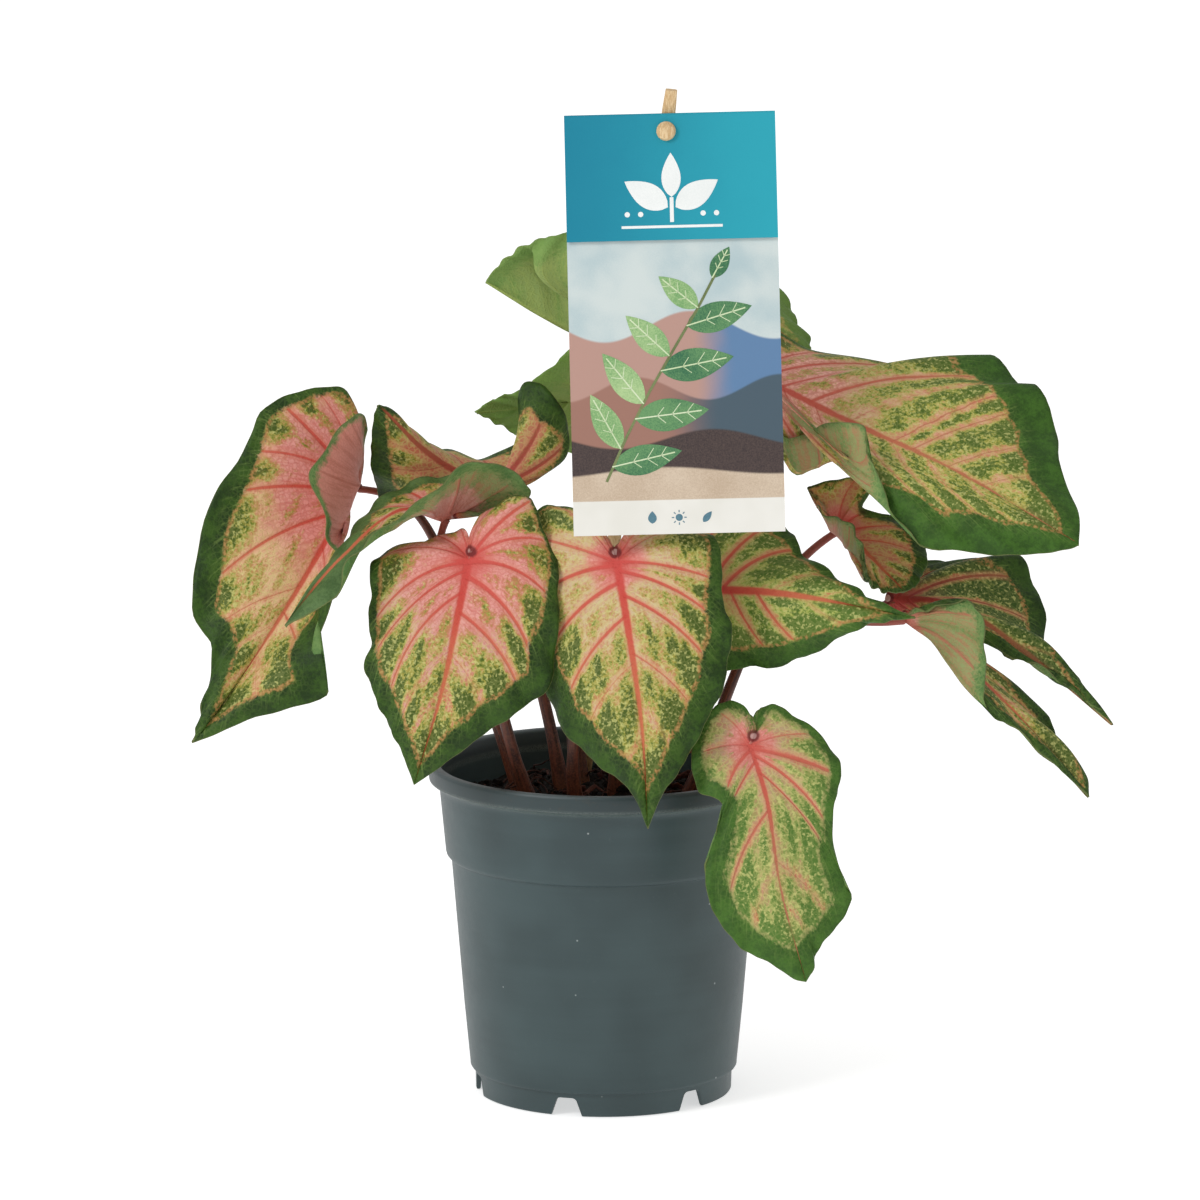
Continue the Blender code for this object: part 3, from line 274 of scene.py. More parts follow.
class Blade:
    """The curved surface of one leaf blade. vein counts from the notch to the tip, share goes
    from the midrib to the margin, and side is 1 on the first half and -1 on the second."""

    TIP = len(VEIN_STARTS) - 1
    AT_STEM = 0.01
    LOBE = 3.6  # before this vein, the upward direction stays that of the lobe
    FULL_REACH = 30  # mm from midrib to margin from which a half bulges by its whole puff
    BEND_FADE = 0.9  # veins past the last crest at which the bend has faded out
    SPAN = 0.1  # share of the midrib to either side over which its direction is read
    STEM_VEIN = 4.0  # the vein whose upward direction the stem meets

    def __init__(self, leaf):
        self.midrib = np.array([seen(*p) for p in leaf["midrib"]])
        self.notch = notch = seen(*leaf["notch"])
        self.rows = {}
        for side, half in ((1, "first"), (-1, "second")):
            knots = [0, *leaf[half], self.TIP]
            points = [notch, *(seen(*p) for p in leaf[half].values()), self.midrib[-1]]
            self.rows[side] = (knots, np.array(points))
        self.puff = {1: leaf["puff"][0], -1: leaf["puff"][1]}
        self.bends = {}
        for side, half in ((1, "first"), (-1, "second")):
            crests = leaf.get("crests", {}).get(half)
            if crests:
                knots = np.array(list(crests))
                flat = self.unbent(knots, np.full(len(knots), CREST_SHARE), side)
                shifts = np.array([seen(*p) for p in crests.values()]) - flat
                knots = [0, knots[0] - self.BEND_FADE, *knots,
                         knots[-1] + self.BEND_FADE, self.TIP]
                none = np.zeros((2, 3))
                self.bends[side] = (knots, np.vstack([none, shifts, none]))

    def spine(self, share):
        """Points of the midrib from the stem to the tip."""
        return through((0, 1 / 3, 2 / 3, 1), self.midrib, share)

    def start_share(self, vein):
        """How far along the midrib a vein starts. Those that start next to the stem start at it."""
        starts = np.array(VEIN_STARTS)[:, None]
        share = np.clip(through(range(self.TIP + 1), starts, vein)[..., 0], 0, 1)
        return np.where(share < self.AT_STEM, 0, share)

    def vein(self, vein, side):
        """Start, end, midrib direction and upward direction of a vein."""
        start = self.spine(self.start_share(vein))
        end = through(*self.rows[side], vein)
        late = np.clip(vein, self.LOBE, self.TIP - 1)
        late_share = self.start_share(late)
        along = unit(self.spine(np.clip(late_share + self.SPAN, 0, 1))
                     - self.spine(np.clip(late_share - self.SPAN, 0, 1)))
        out = through(*self.rows[side], late) - self.spine(late_share)
        up = unit(side * np.cross(out, along))
        return start, end, along, up

    def unbent(self, vein, share, side):
        """The surface without its crests: straight veins that sag towards the tip and bulge."""
        start, end, _, up = self.vein(vein, side)
        run = end - start
        share = np.asarray(share)[..., None]
        arch = 4 * share * (1 - share) * np.clip(vein, 0, 1)[..., None]
        sag = -side * np.cross(up, run) * VEIN_SAG
        reach = np.linalg.norm(run, axis=-1, keepdims=True)
        rise = up * self.puff[side] * np.clip(reach / self.FULL_REACH, 0, 1)
        return start + run * share + (sag + rise) * arch

    def at(self, vein, share, side):
        """Points of the surface, bent over its crests."""
        vein, share = np.broadcast_arrays(np.asarray(vein, float), np.asarray(share, float))
        place = self.unbent(vein, share, side)
        if side in self.bends:
            bend = through(*self.bends[side], vein)
            hump = share**2 * (1 - share) / (CREST_SHARE**2 * (1 - CREST_SHARE))
            place = place + bend * hump[..., None]
        return place

    def up_at_stem(self):
        """The upward direction of the blade where its stem ends."""
        return unit(sum(self.vein(np.array([self.STEM_VEIN]), side)[3][0] for side in (1, -1)))


# MATERIAL HELPERS

MIX_FIRST, MIX_SECOND, MIX_RESULT = 6, 7, 2  # the numbers of a Mix node's sockets for colours


def srgb(red, green, blue):
    """A colour given in screen values of 0 to 255, as Blender's linear colour."""
    linear = [((c / 255 + 0.055) / 1.055) ** 2.4 if c > 10 else c / 255 / 12.92
              for c in (red, green, blue)]
    return (*linear, 1)


class Value:
    """A number or colour in a material's node tree, combined with ordinary arithmetic."""

    def __init__(self, tree, socket):
        self.tree = tree
        self.socket = socket

    def math(self, operation, *others):
        node = self.tree.nodes.new("ShaderNodeMath")
        node.operation = operation
        for slot, item in zip(node.inputs, (self, *others)):
            plug(self.tree, item, slot)
        return Value(self.tree, node.outputs[0])

    def __add__(self, other):
        return self.math("ADD", other)

    def __sub__(self, other):
        return self.math("SUBTRACT", other)

    def __mul__(self, other):
        return self.math("MULTIPLY", other)

    def __truediv__(self, other):
        return self.math("DIVIDE", other)

    def __rsub__(self, other):
        return self.math("MULTIPLY", -1).math("ADD", other)

    def __abs__(self):
        return self.math("ABSOLUTE")

    __radd__ = __add__
    __rmul__ = __mul__

    def low(self, other):
        return self.math("MINIMUM", other)

    def high(self, other):
        return self.math("MAXIMUM", other)

    def step(self, start, end):
        """0 before start and 1 past end, smoothly; start may be above end."""
        node = self.tree.nodes.new("ShaderNodeMapRange")
        node.interpolation_type = "SMOOTHSTEP"
        plug(self.tree, self, node.inputs["Value"])
        plug(self.tree, start, node.inputs["From Min"])
        plug(self.tree, end, node.inputs["From Max"])
        return Value(self.tree, node.outputs[0])

    def mixed(self, first, second):
        """The first colour where this is 0 and the second where it is 1."""
        node = self.tree.nodes.new("ShaderNodeMix")
        node.data_type = "RGBA"
        plug(self.tree, self, node.inputs[0])
        plug(self.tree, first, node.inputs[MIX_FIRST])
        plug(self.tree, second, node.inputs[MIX_SECOND])
        return Value(self.tree, node.outputs[MIX_RESULT])

    def parts(self):
        """The three numbers of a vector."""
        node = self.tree.nodes.new("ShaderNodeSeparateXYZ")
        plug(self.tree, self, node.inputs[0])
        return [Value(self.tree, out) for out in node.outputs]


def plug(tree, item, slot):
    """Links a value to a node's input, or sets a plain number or colour there."""
    if isinstance(item, Value):
        tree.links.new(item.socket, slot)
    else:
        slot.default_value = item


class Surface:
    """One material under construction: its Principled shader and the textures that feed it."""

    def __init__(self, name, roughness=0.5, specular=0.5):
        self.material = bpy.data.materials.new(name)
        self.material.use_nodes = True
        self.tree = self.material.node_tree
        self.shader = self.tree.nodes["Principled BSDF"]
        self.shader.inputs["Roughness"].default_value = roughness
        self.shader.inputs["Specular IOR Level"].default_value = specular

    def value(self, node, output=0):
        return Value(self.tree, node.outputs[output])

    def attribute(self, name):
        """The three numbers of a corner attribute."""
        node = self.tree.nodes.new("ShaderNodeAttribute")
        node.attribute_name = name
        return self.value(node, "Vector").parts()

    def place(self):
        """Object coordinates, in mm."""
        node = self.tree.nodes.new("ShaderNodeTexCoord")
        scaled = self.tree.nodes.new("ShaderNodeVectorMath")
        scaled.operation = "SCALE"
        scaled.inputs["Scale"].default_value = 1 / MM
        self.tree.links.new(node.outputs["Object"], scaled.inputs[0])
        return self.value(scaled)

    def vector(self, x, y, z):
        node = self.tree.nodes.new("ShaderNodeCombineXYZ")
        for slot, item in zip(node.inputs, (x, y, z)):
            plug(self.tree, item, slot)
        return self.value(node)

    def moved(self, where, x, y, z):
        """A place shifted by these numbers."""
        node = self.tree.nodes.new("ShaderNodeVectorMath")
        plug(self.tree, where, node.inputs[0])
        plug(self.tree, self.vector(x, y, z), node.inputs[1])
        return self.value(node)

    def number(self, amount):
        node = self.tree.nodes.new("ShaderNodeValue")
        node.outputs[0].default_value = amount
        return self.value(node)

    def noise(self, where, size, detail=2.0, rough=0.5):
        """Noise from 0 to 1 with features of about this size in mm."""
        node = self.tree.nodes.new("ShaderNodeTexNoise")
        plug(self.tree, where, node.inputs["Vector"])
        node.inputs["Scale"].default_value = 1 / size
        node.inputs["Detail"].default_value = detail
        node.inputs["Roughness"].default_value = rough
        return self.value(node)

    def cells(self, where, size, feature="DISTANCE_TO_EDGE"):
        """Cells of about this size in mm: the distance to their edges, or to their middles."""
        node = self.tree.nodes.new("ShaderNodeTexVoronoi")
        node.feature = feature
        plug(self.tree, where, node.inputs["Vector"])
        node.inputs["Scale"].default_value = 1 / size
        return self.value(node, "Distance")

    def colour(self, value):
        plug(self.tree, value, self.shader.inputs["Base Color"])

    def roughness(self, value):
        plug(self.tree, value, self.shader.inputs["Roughness"])

    def bump(self, height, depth_mm):
        """Relief that stands this deep where the height grows by 1."""
        node = self.tree.nodes.new("ShaderNodeBump")
        node.inputs["Strength"].default_value = 1
        node.inputs["Distance"].default_value = depth_mm * MM
        plug(self.tree, height, node.inputs["Height"])
        self.tree.links.new(node.outputs["Normal"], self.shader.inputs["Normal"])


# LEAF PATTERN

# What is printed on each leaf, with the usual look first.
# pink, red, calm: mm from the stem to which the pink, the red and the part without mottling reach.
# under: mm from the stem to which the pink of the lower side reaches.
# green: what is added to the mottling. glow: how much of the light from behind shows.
# near, pale: the ground at the stem and past the pink. ochre, yellow: what the ground turns to
# towards the mottling. mottle: its light and its dark green. line: the vein beside the border.
# rim: the dark and the light green of the border. vein: the veins' colour at the tip and at the stem.
# rib: a factor on the midrib's thickness. under_pale, under_rose, under_vein: the lower side's
# ground, how red it is at the stem, and its veins.
# veins: each side vein of the first and of the second half as its number at the midrib, its number
# at the margin and its strength.
# border: the width in mm of the green border at these vein numbers, of each half.
USUAL_VEINS = ((1.2, 1.2, 0.4), (2.1, 2.1, 0.5), (3.4, 3.5, 0.6), (5.0, 5.0, 0.8), (6.2, 6.4, 0.9),
               (7.4, 7.6, 0.8), (8.5, 8.5, 0.4), (9.5, 9.5, 0.25))
USUAL_BORDER = {0: 0.6, 2: 2, 4: 4, 6: 7, 8: 8.5, 10: 6.5, 11: 4}
USUAL_LOOK = dict(
    near=srgb(226, 158, 148), pale=srgb(212, 164, 150), ochre=srgb(182, 132, 78),
    yellow=srgb(160, 152, 68), mottle=(srgb(96, 120, 38), srgb(48, 78, 18)),
    line=srgb(186, 128, 78), rim=(srgb(30, 54, 12), srgb(52, 82, 20)),
    vein=(srgb(196, 104, 72), srgb(196, 62, 54)), rib=1.0, glow=0,
    under_pale=srgb(206, 152, 136), under_rose=0.6, under_vein=srgb(184, 100, 84),
    veins=(USUAL_VEINS, USUAL_VEINS), border=(USUAL_BORDER, USUAL_BORDER))
LIT_VEIN = srgb(178, 182, 104)  # the veins of a blade with the light behind it
PATTERNS = {
    "front_left": dict(
        pink=26, red=6, calm=17, green=0.02, under=15, ochre=srgb(182, 122, 76),
        veins=(((1.2, 1.2, 0.5), (2.0, 2.0, 0.6), (3.3, 4.0, 0.7), (5.0, 5.75, 0.85),
                (5.8, 7.1, 0.85), (7.0, 8.5, 0.95), (8.7, 9.3, 0.3), (9.6, 10, 0.15)),
               ((1.6, 1.6, 0.4), (3.0, 2.85, 0.8), (3.6, 4.0, 0.7), (5.0, 5.6, 0.85),
                (6.2, 7.5, 1.4), (7.65, 7.9, 0.95), (8.8, 9.0, 0.3), (9.6, 9.8, 0.15))),
        border=({0: 0, 3: 0.5, 3.7: 2, 4.3: 4, 5: 3.6, 6: 2.8, 7: 4, 8: 6.7, 9: 6.5, 10: 5, 11: 3},
                {0: 0, 2.6: 0.6, 3.3: 1.6, 4: 1.6, 5: 3.6, 6: 6, 7: 9.6, 8: 9, 9: 9, 10: 7.5, 11: 3})),
    "front_centre": dict(
        pink=10, red=5, calm=16, green=0.05, under=15, pale=srgb(204, 180, 142),
        veins=(((1.2, 1.2, 0.5), (2.4, 2.3, 0.5), (4.1, 3.75, 0.65), (5.0, 5.0, 0.95),
                (6.15, 6.3, 1.05), (7.35, 7.5, 0.95), (8.4, 8.3, 0.4), (9.7, 9.7, 0.3)),
               ((1.4, 1.4, 0.5), (2.3, 2.2, 0.5), (4.6, 4.35, 0.75), (5.5, 5.65, 0.9),
                (6.7, 6.8, 0.95), (8.2, 7.9, 0.6), (9.2, 9.1, 0.25))),
        border=({0: 0, 2: 1, 3: 1.5, 4: 2.5, 5: 4, 6: 7, 7: 10.2, 8: 10.5, 9: 9.3, 10: 7, 11: 4},
                {0: 0, 2: 1.2, 3: 3, 4: 4, 5: 5.6, 6: 8, 7: 9.6, 8: 8.6, 9: 8, 10: 6, 11: 3.5})),
    "low_right": dict(
        pink=9, red=3, calm=14, green=0.06, under=12, pale=srgb(182, 156, 118), rib=0.6,
        ochre=srgb(160, 146, 90), yellow=srgb(146, 154, 84), line=srgb(158, 154, 96),
        mottle=(srgb(112, 138, 62), srgb(72, 112, 40)),
        rim=(srgb(50, 84, 26), srgb(66, 104, 34)),
        vein=(srgb(176, 108, 80), srgb(196, 84, 70)),
        veins=(((1.5, 1.5, 0.3), (2.6, 2.6, 0.4), (3.9, 3.9, 0.45), (5.3, 5.6, 0.8),
                (6.3, 7.9, 0.8), (8.15, 8.25, 0.9), (9.3, 9.2, 0.25)),
               ((1.5, 1.5, 0.3), (3.4, 3.3, 0.5), (5.15, 4.5, 0.95), (5.85, 5.95, 1.0),
                (6.9, 8.1, 0.85), (9.2, 8.4, 0.35), (9.9, 9.7, 0.2))),
        border=({0: 0.5, 1: 1.5, 2: 3, 3: 3, 4: 4, 5: 6, 6: 4, 7: 6, 8: 7.5, 9: 8, 10: 8, 11: 9},
                {0: 0.5, 1: 2, 2: 3, 3: 3, 4: 4.5, 5: 4, 6: 3, 7: 4, 8: 6, 9: 6, 10: 7, 11: 9})),
    "centre_right": dict(
        pink=8, red=6, calm=11, green=0.2, under=12, pale=srgb(186, 168, 104),
        ochre=srgb(176, 162, 92), yellow=srgb(164, 172, 84),
        rim=(srgb(40, 70, 18), srgb(60, 96, 28)),
        mottle=(srgb(110, 138, 50), srgb(62, 98, 26)),
        veins=(((1.2, 1.2, 0.4), (2.3, 2.3, 0.5), (3.6, 3.6, 0.7), (5.2, 5.2, 0.7), (6.9, 6.2, 0.7),
                (7.75, 7.1, 0.9), (9.0, 8.6, 0.3)),
               ((1.2, 1.2, 0.4), (2.6, 2.6, 0.6), (4.2, 4.2, 0.8), (5.6, 5.5, 0.95),
                (6.5, 6.75, 1.2), (8.2, 8.0, 0.3), (9.3, 9.2, 0.2))),
        border=({0: 0.5, 2: 3, 4: 5, 5: 7, 6: 8, 7: 7.5, 8: 5.5, 9: 3.5, 10: 2.5, 11: 2},
                {0: 0.5, 2: 3, 4: 6, 5: 6.5, 6: 6, 6.7: 3, 8: 3.6, 9: 3, 10: 2.4, 11: 2})),
    "right_big": dict(
        pink=34, red=7, calm=26, green=0.12, under=22, pale=srgb(224, 186, 148),
        # the lighter ground at the stem here is painted light, where the card shades the blade
        near=srgb(246, 186, 168), ochre=srgb(194, 148, 92), yellow=srgb(172, 166, 76),
        mottle=(srgb(108, 132, 46), srgb(58, 92, 24)),
        rim=(srgb(44, 76, 20), srgb(62, 100, 30)),
        vein=(srgb(184, 112, 78), srgb(200, 84, 68)),
        veins=(((1.5, 1.5, 0.4), (3, 3, 0.7), (4.4, 4.4, 0.8), (5.6, 5.6, 0.7), (6.5, 6.5, 0.6),
                (7.4, 7.3, 0.5), (8.3, 8.2, 0.45), (8.8, 8.65, 0.35), (9.3, 9.2, 0.35),
                (9.8, 9.8, 0.2)),
               ((1.5, 1.5, 0.4), (3, 3, 0.7), (4.4, 4.4, 0.8), (5.4, 5.6, 0.8), (6.4, 7.0, 0.85),
                (7.3, 7.7, 1.1), (8.1, 7.95, 0.3), (8.85, 8.1, 0.65), (9.1, 8.4, 0.6),
                (9.6, 9.1, 0.55), (10, 9.65, 0.45))),
        border=({0: 0.5, 4: 2, 5: 3, 6: 5, 7: 9, 8: 11.5, 9: 13.5, 10: 10, 11: 4},
                {0: 0.5, 4: 2, 5: 2.5, 6: 2.6, 7: 9, 8: 14, 9: 14.5, 10: 11, 11: 5})),
    "right_small": dict(
        pink=8, red=5, calm=14, green=-0.05, under=14, pale=srgb(190, 134, 100),
        border=({0: 0.5, 4: 1.5, 8: 2.5, 11: 2}, {0: 0.5, 4: 1.2, 5: 3, 7: 6, 9: 4, 11: 2})),
    "right_far": dict(
        pink=8, red=8, calm=7, green=0.3, under=14, pale=srgb(150, 108, 66),
        yellow=srgb(120, 128, 58), vein=(srgb(146, 92, 58), srgb(142, 36, 34)),
        border=({0: 0.6, 3: 3, 5: 5, 8: 5, 11: 2},
                {0: 0.6, 3: 4, 5: 6.5, 6: 8, 7: 7, 8: 6, 9: 4, 11: 2})),
    "right_low": dict(
        pink=8, red=3, calm=12, green=0.1, under=5,
        border=({0: 0.6, 3: 3, 6: 4, 9: 3.5, 11: 2}, {0: 0.6, 3: 3, 6: 4, 8: 5, 11: 2})),
    "mid_left": dict(
        pink=16, red=5, calm=16, green=0.05, under=14, rim=(srgb(66, 94, 48), srgb(88, 116, 66)),
        border=({0: 0.6, 3: 3, 6: 4.5, 8: 6, 9: 10, 11: 12},
                {0: 0.6, 2: 3, 4: 6, 6: 5, 8: 6, 9: 10, 11: 12})),
    "left": dict(
        pink=36, red=4, calm=36, green=0.0, under=46, pale=srgb(224, 186, 142),
        # the lighter, less red lower side here is painted light from behind the blade
        under_pale=srgb(226, 154, 138), under_rose=0.3,
        veins=(((1.5, 1.5, 0.4), (2.6, 2.5, 0.5), (3.9, 3.2, 0.95), (4.3, 4.35, 0.7),
                (5.25, 5.05, 1.05), (6.3, 6.5, 1.15), (8.3, 7.1, 0.55), (9.0, 8.5, 0.35),
                (9.8, 9.6, 0.2)),
               ((1.5, 1.5, 0.4), (2.6, 2.6, 0.6), (3.8, 3.8, 0.6), (5, 5, 0.6), (6.3, 6.3, 0.6),
                (7.4, 7.4, 0.6), (8.8, 8.7, 0.9), (9.6, 9.5, 0.3))),
        border=({0: 0.5, 2: 2, 3: 4, 4: 4.6, 5: 7.5, 6: 9.6, 7: 8.5, 8: 9, 9: 8, 10: 5, 11: 3},
                {0: 0.5, 2: 2, 4: 3.5, 6: 4.5, 7: 7, 8: 10, 9: 8, 10: 5, 11: 3})),
    "upper_left": dict(
        pink=8, red=5, calm=22, green=-0.05, under=20, pale=srgb(186, 124, 90),
        vein=(srgb(160, 76, 54), srgb(158, 48, 42)),
        veins=(((1.0, 1.0, 0.6), (1.7, 1.7, 0.9), (2.45, 2.3, 1.2), (3.25, 3.2, 1.3), (4.6, 4.5, 0.6),
                (6, 6, 0.7), (7.3, 7.3, 0.6), (8.6, 8.5, 0.5), (9.6, 9.5, 0.3)), USUAL_VEINS),
        border=({0: 0.5, 1.5: 2, 2.5: 3, 3.2: 9, 4: 9, 4.6: 4, 6: 3.5, 8: 3.5, 10: 4, 11: 3},
                {0: 0.5, 3: 4, 5: 6, 7: 7.5, 9: 7, 10: 5, 11: 3})),
    "back_left": dict(
        pink=6, red=0, calm=6, green=0.2, under=2, glow=0.7, under_vein=LIT_VEIN),
    "top_left": dict(
        pink=16, red=0, calm=16, green=0.0, under=16, glow=0.5, under_vein=LIT_VEIN,
        border=({0: 2, 4: 8, 7: 11, 9: 9, 11: 6}, {0: 2, 4: 5, 7: 9, 9: 8, 11: 6})),
    "top_right": dict(
        pink=8, red=0, calm=12, green=0.1, under=6, glow=0.42, under_vein=LIT_VEIN),
}
BORDER_TICK = srgb(112, 136, 66)
ROSE = srgb(206, 88, 82)
RUST = srgb(184, 92, 62)
HALO = srgb(212, 128, 106)
NET_RED = srgb(190, 92, 80)
SPARKLE = srgb(204, 202, 126)
EDGE = srgb(112, 118, 70)
# the pit over the stem: its dark red is partly the leaf's own red and partly painted shade of a hole, its
# pale middle a painted highlight
PIT_RED_AND_SHADE = srgb(84, 22, 26)
PIT_HIGHLIGHT = srgb(190, 150, 144)
UNDER_GREEN = srgb(106, 136, 76)
UNDER_DEEP = srgb(80, 116, 62)
UNDER_ROSE = srgb(180, 88, 84)
UNDER_YELLOW = srgb(146, 154, 100)
UNDER_TICK = srgb(176, 182, 116)
THROUGH_LIGHT = srgb(134, 168, 84)
HALF_SHIFT = 40  # moves the noise of one half of a blade away from the other's


class LeafPattern:
    """The values that the upper and the lower side of a blade paint with."""

    def __init__(self, surface, look):
        self.look = look
        vein, spacing, run = surface.attribute("vein")
        self.inside, self.margin, self.hub = surface.attribute("reach")
        self.midrib, side, _ = surface.attribute("spine")
        self.strength, self.pit, self.far = surface.attribute("strong")
        between = abs((vein + 0.5).math("FRACT") - 0.5)
        self.between = between * 2
        self.off_vein = between * spacing
        place = surface.place()
        apart = side * HALF_SHIFT
        self.patches = surface.noise(surface.vector(run, vein * 7 + apart, 0), 6, 2)
        self.streaks = surface.noise(surface.vector(run * 0.4, vein * 6, apart), 0.9, 3, 0.65)
        self.rays = surface.noise(surface.vector(run * 0.12, vein * 13, apart), 0.9, 2, 0.6)
        self.grain = surface.noise(place, 1.2, 2, 0.7)
        self.speckle = surface.noise(surface.moved(place, 31, 17, 5), 1.2, 1)
        self.wave = surface.noise(place, 6, 2)
        uneven = surface.moved(place, self.grain, self.speckle, 0)
        self.net = surface.cells(uneven, 1.7).step(0.2, 0.05)

    def veins(self):
        """How much of the midrib and the side veins covers a place, and how near the stem it is."""
        warm = self.far.step(0.85, 0)
        rough = (self.grain - 0.5) * 0.4
        thick = (1.65 - self.far * 1.3) * self.look["rib"]
        rib = (self.midrib / thick + rough).step(1.3, 0.6)
        width = (self.strength * (warm * 0.46 + 0.27)).high(0.01)
        side = (self.off_vein / width + rough).step(1.5, 0.5) * self.inside.step(-0.5, 0.4)
        side = side * (self.strength * 1.3).low(1)
        return rib, side, warm

    def line(self):
        """How much of the broken line beside the border covers a place."""
        line = abs(self.inside - 0.3 + (self.streaks - 0.5) * 2.2).step(1.1, 0.3)
        return line * self.speckle.step(0.36, 0.56) * self.margin.step(0.5, 1.6)

    def mottle(self):
        """How green a place is, from the middle of the blade to the border and between veins."""
        calm = self.look["calm"]
        away = self.hub.step(calm * 0.5, calm * 2.6)
        near_border = self.inside.step(11, 0.5) * self.hub.step(6, 20)
        blobs = near_border * (self.between - 0.3) * 0.5
        beside_vein = self.off_vein.low(self.midrib).step(3.4, 0.6) * (self.strength + 0.2).low(1)
        return (away * 0.42 + near_border * 0.24 + blobs + (self.between - 0.5) * 0.24
                - beside_vein * 0.3 + (self.patches - 0.5) * 1.15 + (self.look["green"] + 0.08))


def lit_through(surface, base, look):
    """The colour with the light from behind the blade in it."""
    if look["glow"]:
        return surface.number(look["glow"]).mixed(base, THROUGH_LIGHT)
    return base


def field_colour(p, look):
    """The upper side between its veins and inside its border."""
    amount = p.mottle()
    fine, streak, ray = p.grain - 0.5, p.streaks - 0.5, p.rays - 0.5
    fleck = amount + fine * 0.6 + streak * 0.7 + ray * 0.4
    pinkness = p.hub.step(look["pink"] * 1.5, look["pink"] * 0.4) + (p.wave - 0.5) * 0.8
    field = pinkness.step(0.1, 0.9).mixed(look["pale"], look["near"])
    field = (p.rays.step(0.5, 0.38) * 0.34).mixed(field, NET_RED)
    field = (fleck.step(0.14, 0.36) * 0.85).mixed(field, look["ochre"])
    field = fleck.step(0.3, 0.54).mixed(field, look["yellow"])
    rust = p.streaks.step(0.5, 0.36) * fleck.step(0.75, 0.4) * p.off_vein.step(4.5, 0.5)
    field = (rust * 0.6).mixed(field, RUST)
    green = (amount + fine * 1.25 + streak * 0.7 + ray * 0.5).step(0.42, 0.76)
    deep = (amount + streak * 0.5 + fine * 0.6).step(0.5, 0.8)
    field = (green * 0.9).mixed(field, deep.mixed(*look["mottle"]))
    field = (p.speckle.step(0.54, 0.68) * amount.step(0.05, 0.4) * 0.58).mixed(field, SPARKLE)
    net = p.net * (0.34 - green * 0.24)
    return net.mixed(field, pinkness.step(0.2, 0.7).mixed(SPARKLE, NET_RED))


def leaf_upper(name, look):
    """The upper side: border and field, then the veins, the midrib and the pit over the stem, drawn with
    painted shade in the pit and a painted highlight in its middle.
    """
    surface = Surface(name, 0.5, 0.22)
    p = LeafPattern(surface, look)
    rib, side, warm = p.veins()
    fine, streak = p.grain - 0.5, p.streaks - 0.5
    border = (p.wave + fine * 0.7).step(0.3, 0.72).mixed(*look["rim"])
    ticks = (p.rays.step(0.55, 0.68) + p.net * 0.4) * p.inside.step(-7, 0) * 0.45
    border = ticks.mixed(border, BORDER_TICK)
    within = (p.inside + fine * 2.4 + streak * 3.4).step(-1.1, 0.8)
    base = within.mixed(border, field_colour(p, look))
    base = (p.line() * 0.6).mixed(base, look["line"])
    beside = p.off_vein.low(p.midrib).step(2.6, 0.2) * p.inside.step(-0.3, 1.5) * p.strength.low(1)
    base = (beside * 0.62).mixed(base, HALO)
    far_red, near_red = look["vein"]
    vein_colour = (warm + fine * 0.4).step(0.2, 1.05).mixed(far_red, near_red)
    base = (side * 0.8).mixed(base, vein_colour)
    base = (rib * p.margin.step(0.4, 3) * 0.94).mixed(base, vein_colour)
    base = (p.hub.step(look["red"] * 1.5 + 1, look["red"] * 0.3) * 0.75).mixed(base, near_red)
    base = (p.hub.step(look["red"] * 2.6 + 1, 0) * 0.4).mixed(base, ROSE)
    base = (p.margin.step(0.3, 0.05) * 0.7).mixed(base, EDGE)
    # painted shade in the pit over the stem, then a painted highlight in its middle
    base = (p.pit.step(2.6, 1.7) * 0.8).mixed(base, PIT_RED_AND_SHADE)
    base = (p.pit.step(1.3, 0.9) * 0.9).mixed(base, PIT_HIGHLIGHT)
    surface.colour(lit_through(surface, base, look))
    surface.roughness(0.44 + p.grain * 0.16)
    surface.bump(side * -0.6 + rib * -0.5 + p.net * -0.2 + p.streaks * 0.4 + p.grain * 0.4, 0.25)
    return surface.material


def leaf_lower(name, look):
    """The lower side: the upper side's veins in paler, plainer colours."""
    surface = Surface(name, 0.55, 0.2)
    p = LeafPattern(surface, look)
    rib, side, _ = p.veins()
    fine, streak = p.grain - 0.5, p.streaks - 0.5
    pinkness = p.hub.step(look["under"] * 1.6, look["under"] * 0.3) + streak * 0.9 + fine * 0.4
    inner = (p.between + fine).step(0.5, 1.2).mixed(UNDER_YELLOW, UNDER_GREEN)
    inner = pinkness.step(0.2, 0.7).mixed(inner, look["under_pale"])
    inner = (p.hub.step(look["under"] * 0.9, 0) * look["under_rose"]).mixed(inner, UNDER_ROSE)
    inner = ((p.rays.step(0.52, 0.38) + p.net * 0.5) * 0.34).mixed(inner, look["under_vein"])
    border = (p.wave + fine * 0.6).step(0.3, 0.7).mixed(UNDER_DEEP, UNDER_GREEN)
    ticks = (p.streaks.step(0.55, 0.75) + p.net * 0.6) * p.inside.step(-7, 1) * 0.4
    border = ticks.mixed(border, UNDER_TICK)
    base = (p.inside + fine * 4 + streak * 6).step(-2.2, 1.6).mixed(border, inner)
    base = (side * 0.6 + rib * 0.65).low(0.85).mixed(base, look["under_vein"])
    base = (p.margin.step(0.3, 0.05) * 0.6).mixed(base, EDGE)
    surface.colour(lit_through(surface, base, look))
    surface.roughness(0.52 + p.grain * 0.15)
    surface.bump(side * 0.6 + rib * 0.6 + p.net * 0.3 + p.streaks * 0.4 + p.grain * 0.3, 0.25)
    return surface.material


# LEAF MESHES

